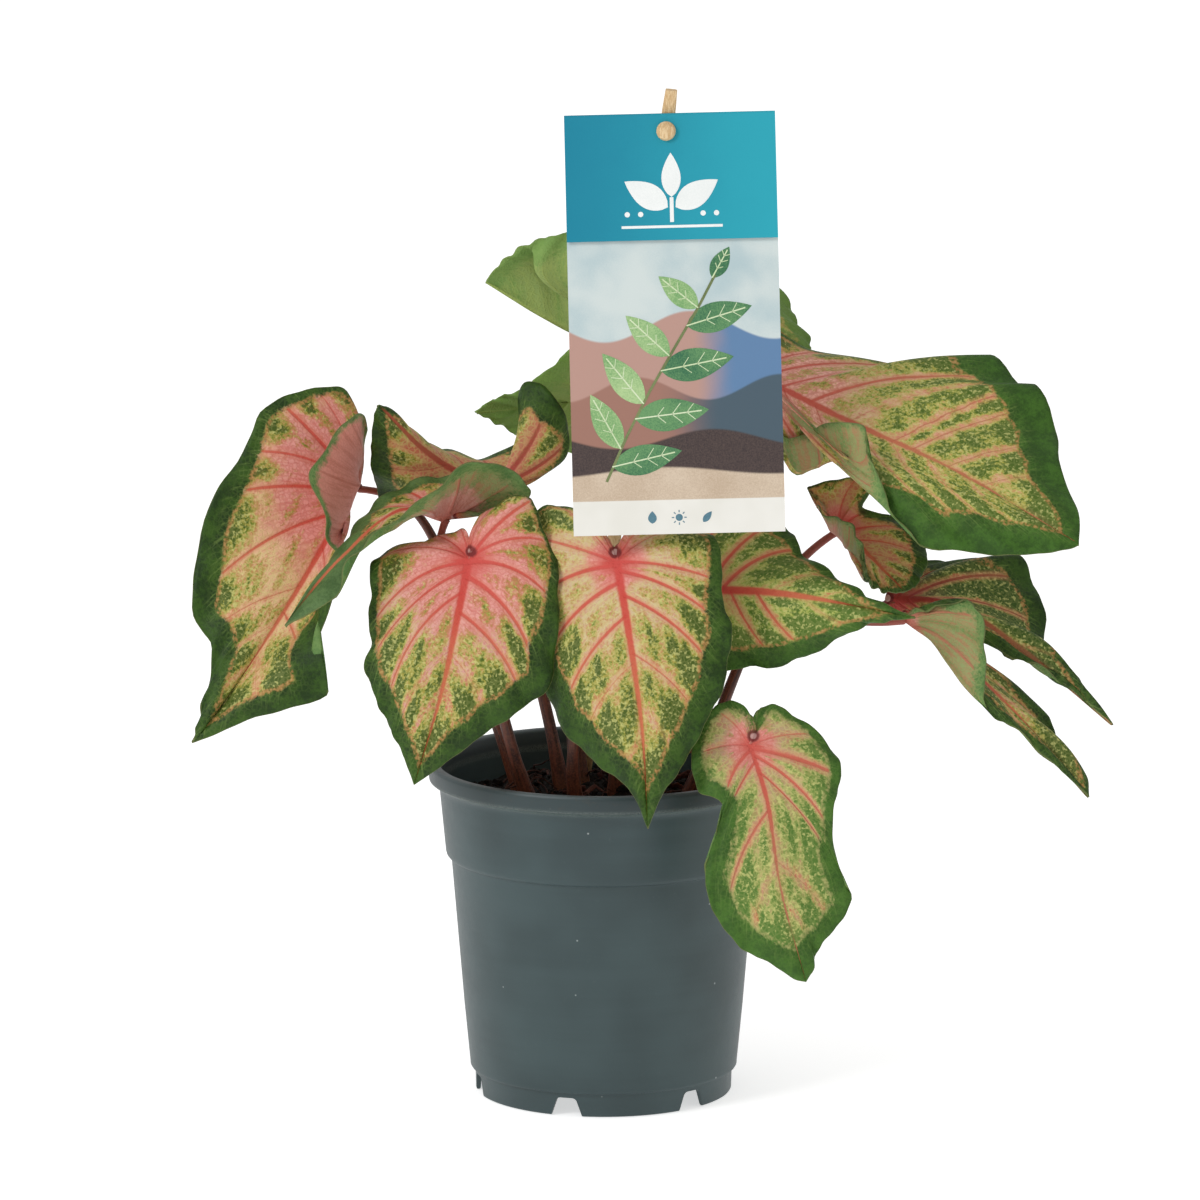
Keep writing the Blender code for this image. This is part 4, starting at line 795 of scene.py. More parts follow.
COLUMN_STEPS = np.array([0, 0.03, 0.07, 0.13, 0.22, 0.35, 0.5, 0.65, 0.78, 0.87, 0.93, 0.97])
ROWS = 24
WELD = 0.004  # mm within which points are one
QUILT = 0.7  # mm that the blade bulges up between veins
QUILT_SPACING = 9  # mm between veins from which it bulges by as much
RIB_HEIGHT = 0.5  # mm that a side vein stands out below
RIB_WIDTH = 0.8
MIDRIB_HEIGHT = 0.9
MIDRIB_WIDTH = 1.3
MIDRIB_SAMPLES = 120
MIDRIB_VEIN = 4.2  # before this vein, the blade lies behind the stem, where the midrib fades
MIDRIB_FADE = 1.5  # mm that each vein before it adds to the distance from the midrib
MARGIN_WAVE = 0.9
MARGIN_UNEVEN = 0.4
MARGIN_SAMPLES = 240
MARGIN_WINDOW = 1.7  # veins to either side within which the margin is looked for
MARGIN_THINNING = 0.45  # share of the thickness that is lost at the margin
FAR_OFF = 1000  # mm added where the margin isn't looked for
PIT_SHARE = 0.35  # how far the pit over the stem lies from the notch towards the midrib
SPACING_STEP = 0.03  # veins to either side over which the spacing is measured


def vein_numbers(veins, vein, share):
    """The count of side veins passed on the way from the notch, and the strength of the nearest."""
    passed, strength = np.zeros_like(vein), np.zeros_like(vein)
    levels = np.array([0, *(item[2] for item in veins), 0])
    for row in range(vein.shape[1]):
        bend = share[0, row] ** 1.2
        knots = [0, *(start + (end - start) * bend for start, end, _ in veins), Blade.TIP]
        passed[:, row] = np.interp(vein[:, row], knots, np.arange(len(knots)))
        strength[:, row] = np.interp(passed[:, row], np.arange(len(knots)), levels)
    return passed, strength


def vein_spacing(blade, vein, share, side):
    """The mm from one vein number to the next at each place."""
    before = np.clip(vein - SPACING_STEP, 0, Blade.TIP)
    after = np.clip(vein + SPACING_STEP, 0, Blade.TIP)
    run = blade.at(after, share, side) - blade.at(before, share, side)
    return np.linalg.norm(run, axis=1) / (after - before)


def off_margin(blade, place, vein, share, side):
    """The mm from each place to the margin."""
    rim_veins = np.linspace(0, Blade.TIP, MARGIN_SAMPLES)
    rim = blade.at(rim_veins, np.ones(MARGIN_SAMPLES), side)
    far = np.linalg.norm(place[:, None] - rim[None], axis=2)
    far += (np.abs(vein[:, None] - rim_veins) > MARGIN_WINDOW) * FAR_OFF
    return np.where(share > 0.999, 0, far.min(1))


def off_midrib(blade, place, vein):
    """The mm from each place to the midrib, more than that behind the stem."""
    spine = blade.spine(np.linspace(0, 1, MIDRIB_SAMPLES))
    far = np.linalg.norm(place[:, None] - spine[None], axis=2).min(1)
    return np.where(vein < MIDRIB_VEIN, far + (MIDRIB_VEIN - vein) * MIDRIB_FADE, far)


def blade_half(blade, look, side):
    """Places, pattern values, rise and rib height of one half on its grid of veins and shares."""
    half = 0 if side == 1 else 1
    veins = (np.arange(Blade.TIP)[:, None] + COLUMN_STEPS).ravel()
    veins = np.append(veins, Blade.TIP)
    shares = np.linspace(0, 1, ROWS + 1) ** 0.9
    vein, share = np.meshgrid(veins, shares, indexing="ij")
    passed, strength = vein_numbers(look["veins"][half], vein, share)
    flat_vein, flat_share = vein.ravel(), share.ravel()
    place = blade.at(flat_vein, flat_share, side)
    slope = np.gradient(passed, axis=0) / np.gradient(vein, axis=0)
    per_passed = vein_spacing(blade, flat_vein, flat_share, side) / slope.ravel()
    start, end, _, _ = blade.vein(flat_vein, side)
    reach = np.linalg.norm(end - start, axis=1)
    margin = off_margin(blade, place, flat_vein, flat_share, side)
    midrib = off_midrib(blade, place, flat_vein)
    hub = np.linalg.norm(place - blade.midrib[0], axis=1)
    pit_middle = blade.midrib[0] * PIT_SHARE + blade.notch * (1 - PIT_SHARE)
    pit = np.linalg.norm(place - pit_middle, axis=1)
    whole = np.linalg.norm(blade.midrib[-1] - blade.midrib[0])
    phase = hash_number(look["name"]) + side
    taper = np.clip((Blade.TIP - flat_vein) / 2, 0, 1) * np.clip(flat_vein, 0, 1)
    uneven = np.sin(flat_vein * 4.3 + phase) * 0.55 + np.sin(flat_vein * 10.9 + phase * 2) * 0.45
    place = place + unit(end - start) * (MARGIN_UNEVEN * uneven * taper * flat_share**6)[:, None]
    between = np.abs((passed.ravel() + 0.5) % 1 - 0.5) * 2
    border = look["border"][half]
    width = np.interp(flat_vein, list(border), list(border.values()))
    width = width * (1.06 - 0.14 * between)
    values = {
        "vein": np.stack([passed.ravel(), per_passed, flat_share * reach], 1),
        "reach": np.stack([margin - width, margin, hub], 1),
        "spine": np.stack([midrib, np.full(len(place), float(side)), flat_share], 1),
        "strong": np.stack([strength.ravel(), pit, np.clip(hub / whole, 0, 1)], 1),
    }
    quilt = QUILT * np.clip(per_passed / QUILT_SPACING, 0, 1) * np.sin(np.pi * between / 2) ** 0.8
    quilt *= np.clip(4 * flat_share * (1.02 - flat_share), 0, 1)
    off_vein = between / 2 * per_passed
    rib = RIB_HEIGHT * np.exp(-(off_vein / RIB_WIDTH) ** 2) * np.clip(1.2 - flat_share * 1.3, 0, 1)
    main_rib = MIDRIB_HEIGHT * np.exp(-(midrib / MIDRIB_WIDTH) ** 2) * np.clip(1.1 - hub / 110, 0.2, 1)
    wave = MARGIN_WAVE * np.sin(flat_vein * 5.3 + phase) * np.clip(flat_share * 2 - 1, 0, 1) ** 2
    wave *= taper
    return vein.shape, place, values, quilt + wave, np.maximum(rib, main_rib)


def hash_number(name):
    """A number that is the same each run for a name."""
    return sum(ord(letter) * (index + 1) for index, letter in enumerate(name)) % 97 * 0.37


def blade_mesh(name, leaf, look, materials):
    """A closed thin blade: upper side, lower side with raised ribs, and the rim between them."""
    blade = Blade(leaf)
    places, faces, lifts, ribs = [], [], [], []
    offset = 0
    values_of = {}
    for side in (1, -1):
        (columns, rows), place, values, lift, rib = blade_half(blade, look, side)
        index = np.arange(columns * rows).reshape(columns, rows) + offset
        quads = np.stack([index[:-1, :-1], index[:-1, 1:], index[1:, 1:], index[1:, :-1]], -1)
        quads = quads.reshape(-1, 4)
        faces.append(quads if side == 1 else quads[:, ::-1])
        places.append(place)
        lifts.append(lift)
        ribs.append(rib)
        for key, value in values.items():
            values_of.setdefault(key, []).append(value)
        offset += len(place)
    place = np.vstack(places)
    quads = np.vstack(faces)
    lift = np.concatenate(lifts)
    rib = np.concatenate(ribs)
    values_of = {key: np.vstack(value) for key, value in values_of.items()}
    _, first, welded = np.unique(np.round(place / WELD).astype(np.int64), axis=0,
                                 return_index=True, return_inverse=True)
    welded = welded.reshape(-1)
    points = place[first]
    normals = np.zeros_like(points)
    corners = welded[quads]
    diagonals = np.cross(points[corners[:, 2]] - points[corners[:, 0]],
                         points[corners[:, 3]] - points[corners[:, 1]])
    for corner in range(4):
        np.add.at(normals, corners[:, corner], diagonals)
    normals = unit(normals)
    lift, rib = lift[first], rib[first]
    rim_share = values_of["spine"][first, 2]
    half = BLADE_THICKNESS / 2 * (1 - MARGIN_THINNING * np.clip(rim_share * 4 - 3, 0, 1))
    upper = points + normals * (lift + half)[:, None]
    lower = points + normals * (lift - half - rib)[:, None]
    return solid_sheet(name, upper, lower, quads, welded, values_of, materials)


def solid_sheet(name, upper, lower, quads, welded, values_of, materials):
    """A mesh from an upper and a lower skin over the same faces, closed along its open edges."""
    count = len(upper)
    bm = bmesh.new()
    verts = [bm.verts.new(co) for co in np.vstack([upper, lower])]
    layers = {key: bm.loops.layers.float_vector.new(key) for key in values_of}
    edges = {}

    def add(corner_verts, corner_values, material):
        """A face without the corners that repeat, or none where fewer than three are left."""
        kept = [i for i in range(len(corner_verts)) if corner_verts[i] != corner_verts[i - 1]]
        if len({corner_verts[i] for i in kept}) < 3:
            return None
        face = bm.faces.new([verts[corner_verts[i]] for i in kept])
        face.material_index = material
        face.smooth = True
        for loop, i in zip(face.loops, kept):
            for key, layer in layers.items():
                loop[layer] = values_of[key][corner_values[i]]
        return face

    for quad in quads.tolist():
        ids = [int(welded[q]) for q in quad]
        add(ids, quad, 0)
        add([i + count for i in ids[::-1]], quad[::-1], 1)
        for a, b, qa, qb in zip(ids, ids[1:] + ids[:1], quad, quad[1:] + quad[:1]):
            if a == b:
                continue
            if (b, a) in edges:
                del edges[(b, a)]
            else:
                edges[(a, b)] = (qa, qb)
    for (a, b), (qa, qb) in edges.items():
        face = add([b, a, a + count, b + count], [qb, qa, qa, qb], 0)
        if face:
            face.smooth = True
    return finish_mesh(name, bm, materials)


def finish_mesh(name, bm, materials, sharp_deg=None):
    """Turns a bmesh in mm from the pot's axis into an object that rides on the plant."""
    bmesh.ops.scale(bm, vec=(MM, MM, MM), verts=bm.verts)
    bmesh.ops.translate(bm, vec=AXIS, verts=bm.verts)
    mesh = bpy.data.meshes.new(name)
    bm.to_mesh(mesh)
    bm.free()
    if sharp_deg is not None:
        mesh.shade_smooth()
        mesh.set_sharp_from_angle(angle=math.radians(sharp_deg))
    for item in materials:
        mesh.materials.append(item)
    obj = bpy.data.objects.new(name, mesh)
    bpy.context.scene.collection.objects.link(obj)
    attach(obj, "root")
    return obj


def make_leaves():
    for name, leaf in LEAVES.items():
        look = {**USUAL_LOOK, **PATTERNS[name], "name": name}
        materials = [leaf_upper(f"leaf {name} upper", look), leaf_lower(f"leaf {name} lower", look)]
        blade = blade_mesh(f"blade_{name}", leaf, look, materials)
        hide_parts(f"leaf_{name}")


# STEMS

STEM_RINGS = 44
STEM_SIDES = 14
STEM_FOOT_RINGS = 8  # as many of these rings are on the straight foot
STEM_ABOVE_TUBER = 0.6  # mm
STEM_GAP = 0.8  # mm usually left under a blade in the model
STEM_ARRIVE = 0.3  # share of the way over which a stem keeps its last direction
STEM_SINK = 0.15  # mm under the blade's middle at which the visible stem ends
STEM_SQUASH = 0.9
STEM_FLARE = (1.02, 1.12, 1.3)  # factors on the radius of the last rings
SHEATH_LENGTH = 24.0  # the wider foot of a stem above the soil
SHEATH_BELOW = 8.0
SHEATH_EXTRA = 1.1
OFF_EVERY_TUBE = (0.3, 0.9, 0.2)  # a direction that no tube starts along


def stem_points(leaf):
    """Points of a stem from the tuber to its blade, as in the model but closer together."""
    x, y = leaf["root"]
    lean = unit(np.array([x * STEM_SPREAD, y * STEM_SPREAD, 1.0]))
    across = math.hypot(x, y) / TUBER_RADIUS
    height = TUBER_MIDDLE_HEIGHT + TUBER_HALF_HEIGHT * math.sqrt(1 - across**2)
    root = np.array([x, y, height + STEM_ABOVE_TUBER])
    blade = Blade(leaf)
    up = blade.up_at_stem()
    end = blade.midrib[0] - up * (BLADE_THICKNESS / 2 + leaf.get("gap", STEM_GAP))
    bend = root + lean * STEM_STRAIGHT
    arrive = unit(up + np.array(leaf.get("arrive", (0, 0, 0))))
    reach = np.linalg.norm(end - bend)
    handles = [bend, bend + lean * reach * leaf.get("rise", STEM_RISE),
               end - arrive * reach * STEM_ARRIVE, end]
    t = np.linspace(0, 1, STEM_RINGS - STEM_FOOT_RINGS)[:, None]
    curve = (handles[0] * (1 - t) ** 3 + 3 * handles[1] * t * (1 - t) ** 2
             + 3 * handles[2] * t * t * (1 - t) + handles[3] * t**3)
    straight = root + (bend - root) * np.linspace(0, 1, STEM_FOOT_RINGS)[:-1, None]
    top = blade.midrib[0] - up * STEM_SINK
    return np.vstack([straight, curve, [top]])


def lengths(points):
    """How far each point of a path lies from its first one, along the path."""
    return np.concatenate([[0], np.cumsum(np.linalg.norm(np.diff(points, axis=0), axis=1))])


def join_rings(bm, rings):
    """Quads from each ring of points to the next, returned row by row, and a face on each end."""
    count = len(rings[0])
    rows = []
    for low, high in zip(rings, rings[1:]):
        row = [bm.faces.new((low[i], low[(i + 1) % count], high[(i + 1) % count], high[i]))
               for i in range(count)]
        for face in row:
            face.smooth = True
        rows.append(row)
    bm.faces.new(rings[0][::-1])
    bm.faces.new(rings[-1])
    return rows


def tube(bm, points, radii, sides, layer=None, squash=1.0, start_turn=0.0):
    """A closed tube through points with a radius at each, its rings turned as little as can be.
    The layer gets the length from the start, the turn and the length that is left."""
    points = np.asarray(points, float)
    ways = unit(np.gradient(points, axis=0))
    across = unit(np.cross(ways[0], OFF_EVERY_TUBE))
    length = lengths(points)
    rings = []
    for place, way, radius in zip(points, ways, radii):
        across = unit(across - way * (across @ way))
        other = np.cross(way, across)
        turns = start_turn + np.arange(sides) * 2 * math.pi / sides
        ring = [bm.verts.new(place + radius * (math.cos(a) * across + squash * math.sin(a) * other))
                for a in turns]
        rings.append(ring)
    for row, faces in enumerate(join_rings(bm, rings)):
        for i, face in enumerate(faces if layer else ()):
            corners = ((row, i), (row, i + 1), (row + 1, i + 1), (row + 1, i))
            for loop, (far, turn) in zip(face.loops, corners):
                loop[layer] = (length[far], turn / sides, length[-1] - length[far])


def stem_material():
    surface = Surface("stem skin", 0.42, 0.4)
    along, turn, left = surface.attribute("along")
    place = surface.place()
    streak = surface.noise(surface.vector(along * 0.09, turn * 14, turn * 3), 1, 3, 0.6)
    blotch = surface.noise(place, 4, 3, 0.6)
    fine = surface.noise(place, 0.7, 2)
    base = streak.step(0.3, 0.7).mixed(srgb(60, 30, 22), srgb(116, 60, 42))
    base = (blotch.step(0.45, 0.75) * 0.6).mixed(base, srgb(50, 29, 22))
    base = (along.step(70, 30) * fine.step(0.4, 0.7) * 0.5).mixed(base, srgb(138, 84, 58))
    base = (left.step(34, 3) * 0.75).mixed(base, srgb(160, 78, 64))
    base = (along.step(26, 14) * 0.5).mixed(base, srgb(120, 80, 54))
    surface.colour(base)
    surface.roughness(0.34 + fine * 0.2)
    surface.bump(streak + fine * 0.4, 0.15)
    return surface.material


def make_stems():
    skin = stem_material()
    for name, leaf in LEAVES.items():
        points = stem_points(leaf)
        t = np.linspace(0, 1, len(points))
        radii = STEM_BASE_RADIUS + (STEM_TOP_RADIUS - STEM_BASE_RADIUS) * t**0.8
        above_soil = lengths(points) - (SOIL_HEIGHT - points[0][2])
        sheath = np.clip(1 - above_soil / SHEATH_LENGTH, 0, 1)
        sheath = sheath * np.clip(1 + above_soil / SHEATH_BELOW, 0, 1)
        radii = radii + SHEATH_EXTRA * sheath**1.5
        radii[-len(STEM_FLARE):] = [STEM_TOP_RADIUS * factor for factor in STEM_FLARE]
        bm = bmesh.new()
        layer = bm.loops.layers.float_vector.new("along")
        tube(bm, points, radii, STEM_SIDES, layer, STEM_SQUASH, hash_number(name))
        stalk = finish_mesh(f"stalk_{name}", bm, [skin])
        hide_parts(f"stem_{name}")


# SOIL

SOIL_HEIGHT = 102.0
SOIL_EDGE_HEIGHT = 100.0
SOIL_MIDDLE_HEIGHT = 106.0
SOIL_EDGE_RADIUS = 54.0
SOIL_SIDE = ((51.6, 84.0), (50.9, 78.0), (44.6, 9.4))  # (radius, height) down from its edge
SOIL_RINGS = 54
SOIL_TURNS = 150
SOIL_LUMPS = ((2.6, 11, 3.1), (1.5, 4.1, 7.7), (0.8, 1.7, 1.3))  # mm high, mm wide, noise layer
SEED = 5
SPREAD = 52.0  # mm from the pot's axis within which crumbs lie
ROOT_SPREAD = 46.0
CRUMB_COUNT = 420
ROOT_COUNT = 60
ROOT_POINTS = 11
ROOT_STEP = 1.7  # mm from point to point
SCRAP_COUNT = 14
SCRAP_POINTS = 8
SCRAP_STEP = 1.5
# The scraps that the photo shows in front: x, y and the direction in radians.
SCRAP_SPOTS = ((-31, -33, 2.1), (-24, -38, 0.7), (-18, -30, 2.6), (6, -38, 0.2), (-36, -22, 1.2))


def soil_height(x, y):
    """The lumpy top of the soil, in mm."""
    across = min(math.hypot(x, y) / SOIL_EDGE_RADIUS, 1)
    base = SOIL_EDGE_HEIGHT + (SOIL_MIDDLE_HEIGHT - SOIL_EDGE_HEIGHT) * (1 - across**2)
    lumps = (high * noise.noise((x / wide, y / wide, level)) for high, wide, level in SOIL_LUMPS)
    return base + sum(lumps)


def soil_material():
    surface = Surface("potting soil", 0.95, 0.2)
    place = surface.place()
    clumps = surface.noise(place, 5, 4, 0.65)
    grain = surface.noise(place, 1.1, 3, 0.7)
    bits = surface.cells(place, 1.6, "F1")
    base = (clumps * 0.6 + grain * 0.4).step(0.35, 0.68).mixed(srgb(13, 11, 10), srgb(38, 30, 25))
    base = (grain.step(0.6, 0.78) * 0.5).mixed(base, srgb(66, 50, 40))
    base = (bits.step(0.22, 0.1) * grain.step(0.5, 0.7)).mixed(base, srgb(104, 78, 58))
    surface.colour(base)
    surface.bump(clumps + grain * 0.8, 1.4)
    return surface.material


def make_soil(mat):
    """A filled disc with a lumpy top, inside the pot's wall."""
    bm = bmesh.new()
    angles = [2 * math.pi * turn / SOIL_TURNS for turn in range(SOIL_TURNS)]
    rings = []
    for ring in range(1, SOIL_RINGS + 1):
        radius = SOIL_EDGE_RADIUS * ring / SOIL_RINGS
        row = []
        for angle in angles:
            x, y = radius * math.cos(angle), radius * math.sin(angle)
            row.append(bm.verts.new((x, y, soil_height(x, y))))
        rings.append(row)
    for radius, height in SOIL_SIDE:
        rings.append([bm.verts.new((radius * math.cos(angle), radius * math.sin(angle), height))
                      for angle in angles])
    middle = bm.verts.new((0, 0, soil_height(0, 0)))
    for turn in range(SOIL_TURNS):
        after = (turn + 1) % SOIL_TURNS
        bm.faces.new((middle, rings[0][turn], rings[0][after]))
        for inner, outer in zip(rings, rings[1:]):
            bm.faces.new((inner[turn], outer[turn], outer[after], inner[after]))
    bm.faces.new(rings[-1][::-1])
    soil = finish_mesh("soil_body", bm, [mat], 60)
    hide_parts("soil")


def on_soil(rng, spread):
    """A random place on the soil, at most this many mm from the pot's axis."""
    radius, angle = spread * math.sqrt(rng.random()), 2 * math.pi * rng.random()
    x, y = radius * math.cos(angle), radius * math.sin(angle)
    return np.array([x, y, soil_height(x, y)])


def stepped(place, heading, length):
    """The place that lies a step further on in this direction."""
    return place + np.array([math.cos(heading), math.sin(heading), 0]) * length


def crumb(bm, rng, place, size, flat):
    """An irregular lump."""
    made = bmesh.ops.create_icosphere(bm, subdivisions=1, radius=1)["verts"]
    turn = Matrix.Rotation(rng.random() * 6.3, 3, Vector(rng.normal(size=3)).normalized())
    stretch = size * np.array([1 + 0.6 * rng.random(), 0.7 + 0.4 * rng.random(), flat])
    for vert in made:
        rough = 1 + 0.35 * (rng.random() - 0.5)
        vert.co = turn @ Vector(np.array(vert.co) * stretch * rough) + Vector(place)


def make_crumbs(mat):
    rng = np.random.default_rng(SEED)
    bm = bmesh.new()
    for _ in range(CRUMB_COUNT):
        size = 0.5 + 1.5 * rng.random() ** 2.5
        crumb(bm, rng, on_soil(rng, SPREAD) + [0, 0, size * 0.35], size, 0.7)
    crumbs = finish_mesh("soil_crumbs", bm, [mat], 50)


def fibre_material(name, dark, light):
    surface = Surface(name, 0.8, 0.25)
    place = surface.place()
    shade = surface.noise(place, 3, 3)
    fine = surface.noise(place, 0.6, 2)
    surface.colour((shade * 0.7 + fine * 0.3).step(0.35, 0.65).mixed(dark, light))
    surface.bump(fine, 0.2)
    return surface.material


def make_roots(mat):
    """Thin roots and fibres that wander over the soil."""
    rng = np.random.default_rng(SEED + 1)
    bm = bmesh.new()
    for _ in range(ROOT_COUNT):
        place = on_soil(rng, ROOT_SPREAD)
        heading = 2 * math.pi * rng.random()
        points = []
        arch = 1 + 5 * rng.random() ** 3
        for step in range(ROOT_POINTS):
            lift = arch * math.sin(math.pi * step / (ROOT_POINTS - 1))
            x, y = place[0], place[1]
            points.append((x, y, soil_height(x, y) + 0.1 + lift))
            heading += rng.normal() * 0.35
            place = stepped(place, heading, ROOT_STEP)
            if math.hypot(place[0], place[1]) > SOIL_EDGE_RADIUS - 2:
                heading += math.pi / 2
        radius = 0.18 + 0.3 * rng.random()
        radii = radius * np.linspace(1.2, 0.5, ROOT_POINTS)
        tube(bm, points, radii, 6)
    roots = finish_mesh("soil_roots", bm, [mat])


def make_scraps(mat):
    """Dry sheaths and bark chips: short curved strips."""
    rng = np.random.default_rng(SEED + 2)
    bm = bmesh.new()
    for index in range(SCRAP_COUNT):
        if index < len(SCRAP_SPOTS):
            x, y, heading = SCRAP_SPOTS[index]
            place = np.array([x, y, soil_height(x, y)])
        else:
            place, heading = on_soil(rng, ROOT_SPREAD), 2 * math.pi * rng.random()
        points = []
        curl = rng.normal() * 0.25
        for step in range(SCRAP_POINTS):
            lift = 0.8 + 1.6 * math.sin(math.pi * step / (SCRAP_POINTS - 1))
            points.append((place[0], place[1], soil_height(place[0], place[1]) + lift))
            heading += curl
            place = stepped(place, heading, SCRAP_STEP)
        radii = (0.9 + 0.8 * rng.random()) * np.sin(np.linspace(0.5, math.pi - 0.3, SCRAP_POINTS))
        tube(bm, points, radii, 8, squash=0.3, start_turn=rng.random())
    scraps = finish_mesh("soil_scraps", bm, [mat])


def dress_tuber():
    """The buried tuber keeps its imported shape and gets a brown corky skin."""
    surface = Surface("tuber skin", 0.9, 0.2)
    place = surface.place()
    x, y, z = place.parts()
    ridges = surface.noise(surface.vector(x * 0.2, y * 0.2, z * 1.5), 2, 3)
    patches = surface.noise(place, 5, 3, 0.6)
    cork = (ridges * 0.6 + patches * 0.4).step(0.35, 0.65)
    surface.colour(cork.mixed(srgb(70, 46, 32), srgb(128, 92, 64)))
    surface.bump(ridges + patches * 0.5, 0.8)
    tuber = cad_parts["tuber"]
    tuber.data.materials.clear()
    tuber.data.materials.append(surface.material)


# POT

POT_TURNS = 220
NOTCH_COUNT = 6
NOTCH_FIRST_DEG = 196.8
NOTCH_HEIGHT = 6.4
NOTCH_TOP_HALF = 3.3  # half of a notch's width at its top
NOTCH_FOOT_HALF = 5.9
NOTCH_DEPTH_HALF = 5.0  # half of its reach through the foot ring
NOTCH_ROUNDING = 1.2
FOOT_RADIUS = 44.3
DRAIN_RADIUS = 4.0
DRAIN_FROM_AXIS = 30.0
BASE_HEIGHT = 6.9
BASE_CUT = 6.0  # long enough to pass through the base plate
LIP_FOOT = 108.2
POT_HEIGHT = 115.0
POT_SHARP_DEG = 38
# The pot's section as (radius, height): its underside, its outside, the lip and the inside.
POT_PROFILE = (
    (0, 6.9), (42.0, 6.9), (42.5, 6.6), (42.6, 0.6), (42.9, 0.1), (43.4, 0), (43.9, 0.1),
    (44.1, 0.5), (44.3, 7.5), (44.5, 8.0), (45.1, 8.25), (45.7, 8.4), (46.0, 8.9), (46.02, 9.6),
    (48.0, 30), (50.1, 55), (52.3, 81.2), (52.45, 82.0), (52.55, 82.3), (52.95, 82.45), (53.5, 82.7),
    (54.0, 83.3), (54.25, 84.2), (54.4, 85.8), (55.4, 96), (56.3, 105.2), (56.5, 106.4), (57.0, 107.5),
    (57.9, 108.3), (58.8, 108.7), (59.5, 108.85), (59.9, 109.2), (60.0, 109.8), (60.0, 113.6),
    (59.85, 114.4), (59.4, 114.9), (58.7, 115.0), (57.2, 114.95), (56.5, 114.6), (56.1, 113.9),
    (55.6, 111), (55.1, 107), (53.1, 85.3), (51.4, 82.8), (45.1, 10.2), (44.0, 8.4), (0, 8.2),
)


def pot_material():
    surface = Surface("pot plastic", 0.42, 0.45)
    place = surface.place()
    x, y, z = place.parts()
    cloudy = surface.noise(place, 30, 2, 0.45)
    fine = surface.noise(place, 0.35, 2, 0.6)
    dust = surface.noise(place, 3.2, 4, 0.75)
    rings = surface.noise(surface.vector(x * 0.04, y * 0.04, z), 3.2, 2)
    specks = surface.cells(place, 11, "F1")
    scratch = surface.noise(surface.vector(x * 0.5 + z * 0.4, y * 0.5, z * 2.5), 1.1, 3, 0.7)
    base = (cloudy * 0.85 + rings * 0.15).step(0.3, 0.7).mixed(srgb(43, 60, 62), srgb(54, 72, 74))
    base = (dust.step(0.6, 0.85) * 0.14).mixed(base, srgb(104, 114, 114))
    base = (scratch.step(0.7, 0.8) * 0.2).mixed(base, srgb(98, 108, 108))
    base = (specks.step(0.04, 0.02) * 0.7).mixed(base, srgb(164, 172, 170))
    # painted shade: the lip is made darker than the body below it
    base = (z.step(LIP_FOOT, LIP_FOOT + 1) * 0.55).mixed(base, srgb(38, 48, 50))
    # a broken lighter line round the lip's foot: a mould flash line together with a painted highlight along
    # that edge
    flash_and_highlight = z.step(LIP_FOOT - 1.2, LIP_FOOT) * z.step(LIP_FOOT + 2.2, LIP_FOOT + 1)
    base = (flash_and_highlight * fine.step(0.35, 0.6) * 0.5).mixed(base, srgb(112, 122, 116))
    # painted highlight: the top 1.2 mm of the rim is made lighter
    base = (z.step(POT_HEIGHT - 1.2, POT_HEIGHT) * 0.3).mixed(base, srgb(104, 116, 119))
    soiled = z.step(POT_HEIGHT - 9, POT_HEIGHT - 1) * dust.step(0.55, 0.7)
    base = (soiled * 0.45).mixed(base, srgb(66, 62, 54))
    surface.colour(base)
    surface.roughness(0.36 + dust * 0.14 + fine * 0.06)
    surface.bump(fine * 0.3 + rings * 0.3 + dust * 0.2 + scratch * 0.2, 0.1)
    return surface.material


def notch(turn):
    """A wedge that cuts a notch out of the foot ring, rounded at its top corners."""
    bm = bmesh.new()
    bmesh.ops.create_cube(bm, size=2)
    for v in bm.verts:
        half, height = (NOTCH_TOP_HALF, NOTCH_HEIGHT) if v.co.z > 0 else (NOTCH_FOOT_HALF, -1)
        v.co = (half * v.co.x, FOOT_RADIUS + NOTCH_DEPTH_HALF * v.co.y, height)
    tops = [e for e in bm.edges
            if all(v.co.z > 0 for v in e.verts) and e.verts[0].co.x == e.verts[1].co.x]
    bmesh.ops.bevel(bm, geom=tops, offset=NOTCH_ROUNDING, segments=5, affect="EDGES", profile=0.5)
    bmesh.ops.rotate(bm, verts=bm.verts, matrix=Matrix.Rotation(-turn, 3, "Z"))
    return bm


def drain(turn):
    """A cylinder that cuts a drain hole out of the base plate."""
    bm = bmesh.new()
    place = Matrix.Translation((DRAIN_FROM_AXIS * math.sin(turn), DRAIN_FROM_AXIS * math.cos(turn),
                                BASE_HEIGHT))
    bmesh.ops.create_cone(bm, cap_ends=True, segments=40, radius1=DRAIN_RADIUS, radius2=DRAIN_RADIUS,
                          depth=BASE_CUT, matrix=place)
    return bm


def join_meshes(parts):
    """One bmesh with the faces of all of these."""
    whole = bmesh.new()
    for part in parts:
        mesh = bpy.data.meshes.new("part")
        part.to_mesh(mesh)
        part.free()
        whole.from_mesh(mesh)
        bpy.data.meshes.remove(mesh)
    return whole


def turned(profile, turns):
    """A closed solid turned round the Z axis from its profile."""
    bm = bmesh.new()
    rings = []
    for radius, height in profile:
        if radius == 0:
            rings.append([bm.verts.new((0, 0, height))] * turns)
            continue
        rings.append([bm.verts.new((radius * math.sin(2 * math.pi * i / turns),
                                    radius * math.cos(2 * math.pi * i / turns), height))
                      for i in range(turns)])
    for low, high in zip(rings, rings[1:]):
        for i in range(turns):
            corners = [low[i], high[i], high[(i + 1) % turns], low[(i + 1) % turns]]
            kept = [v for index, v in enumerate(corners) if v not in corners[:index]]
            bm.faces.new(kept)
    bmesh.ops.recalc_face_normals(bm, faces=bm.faces)
    return bm


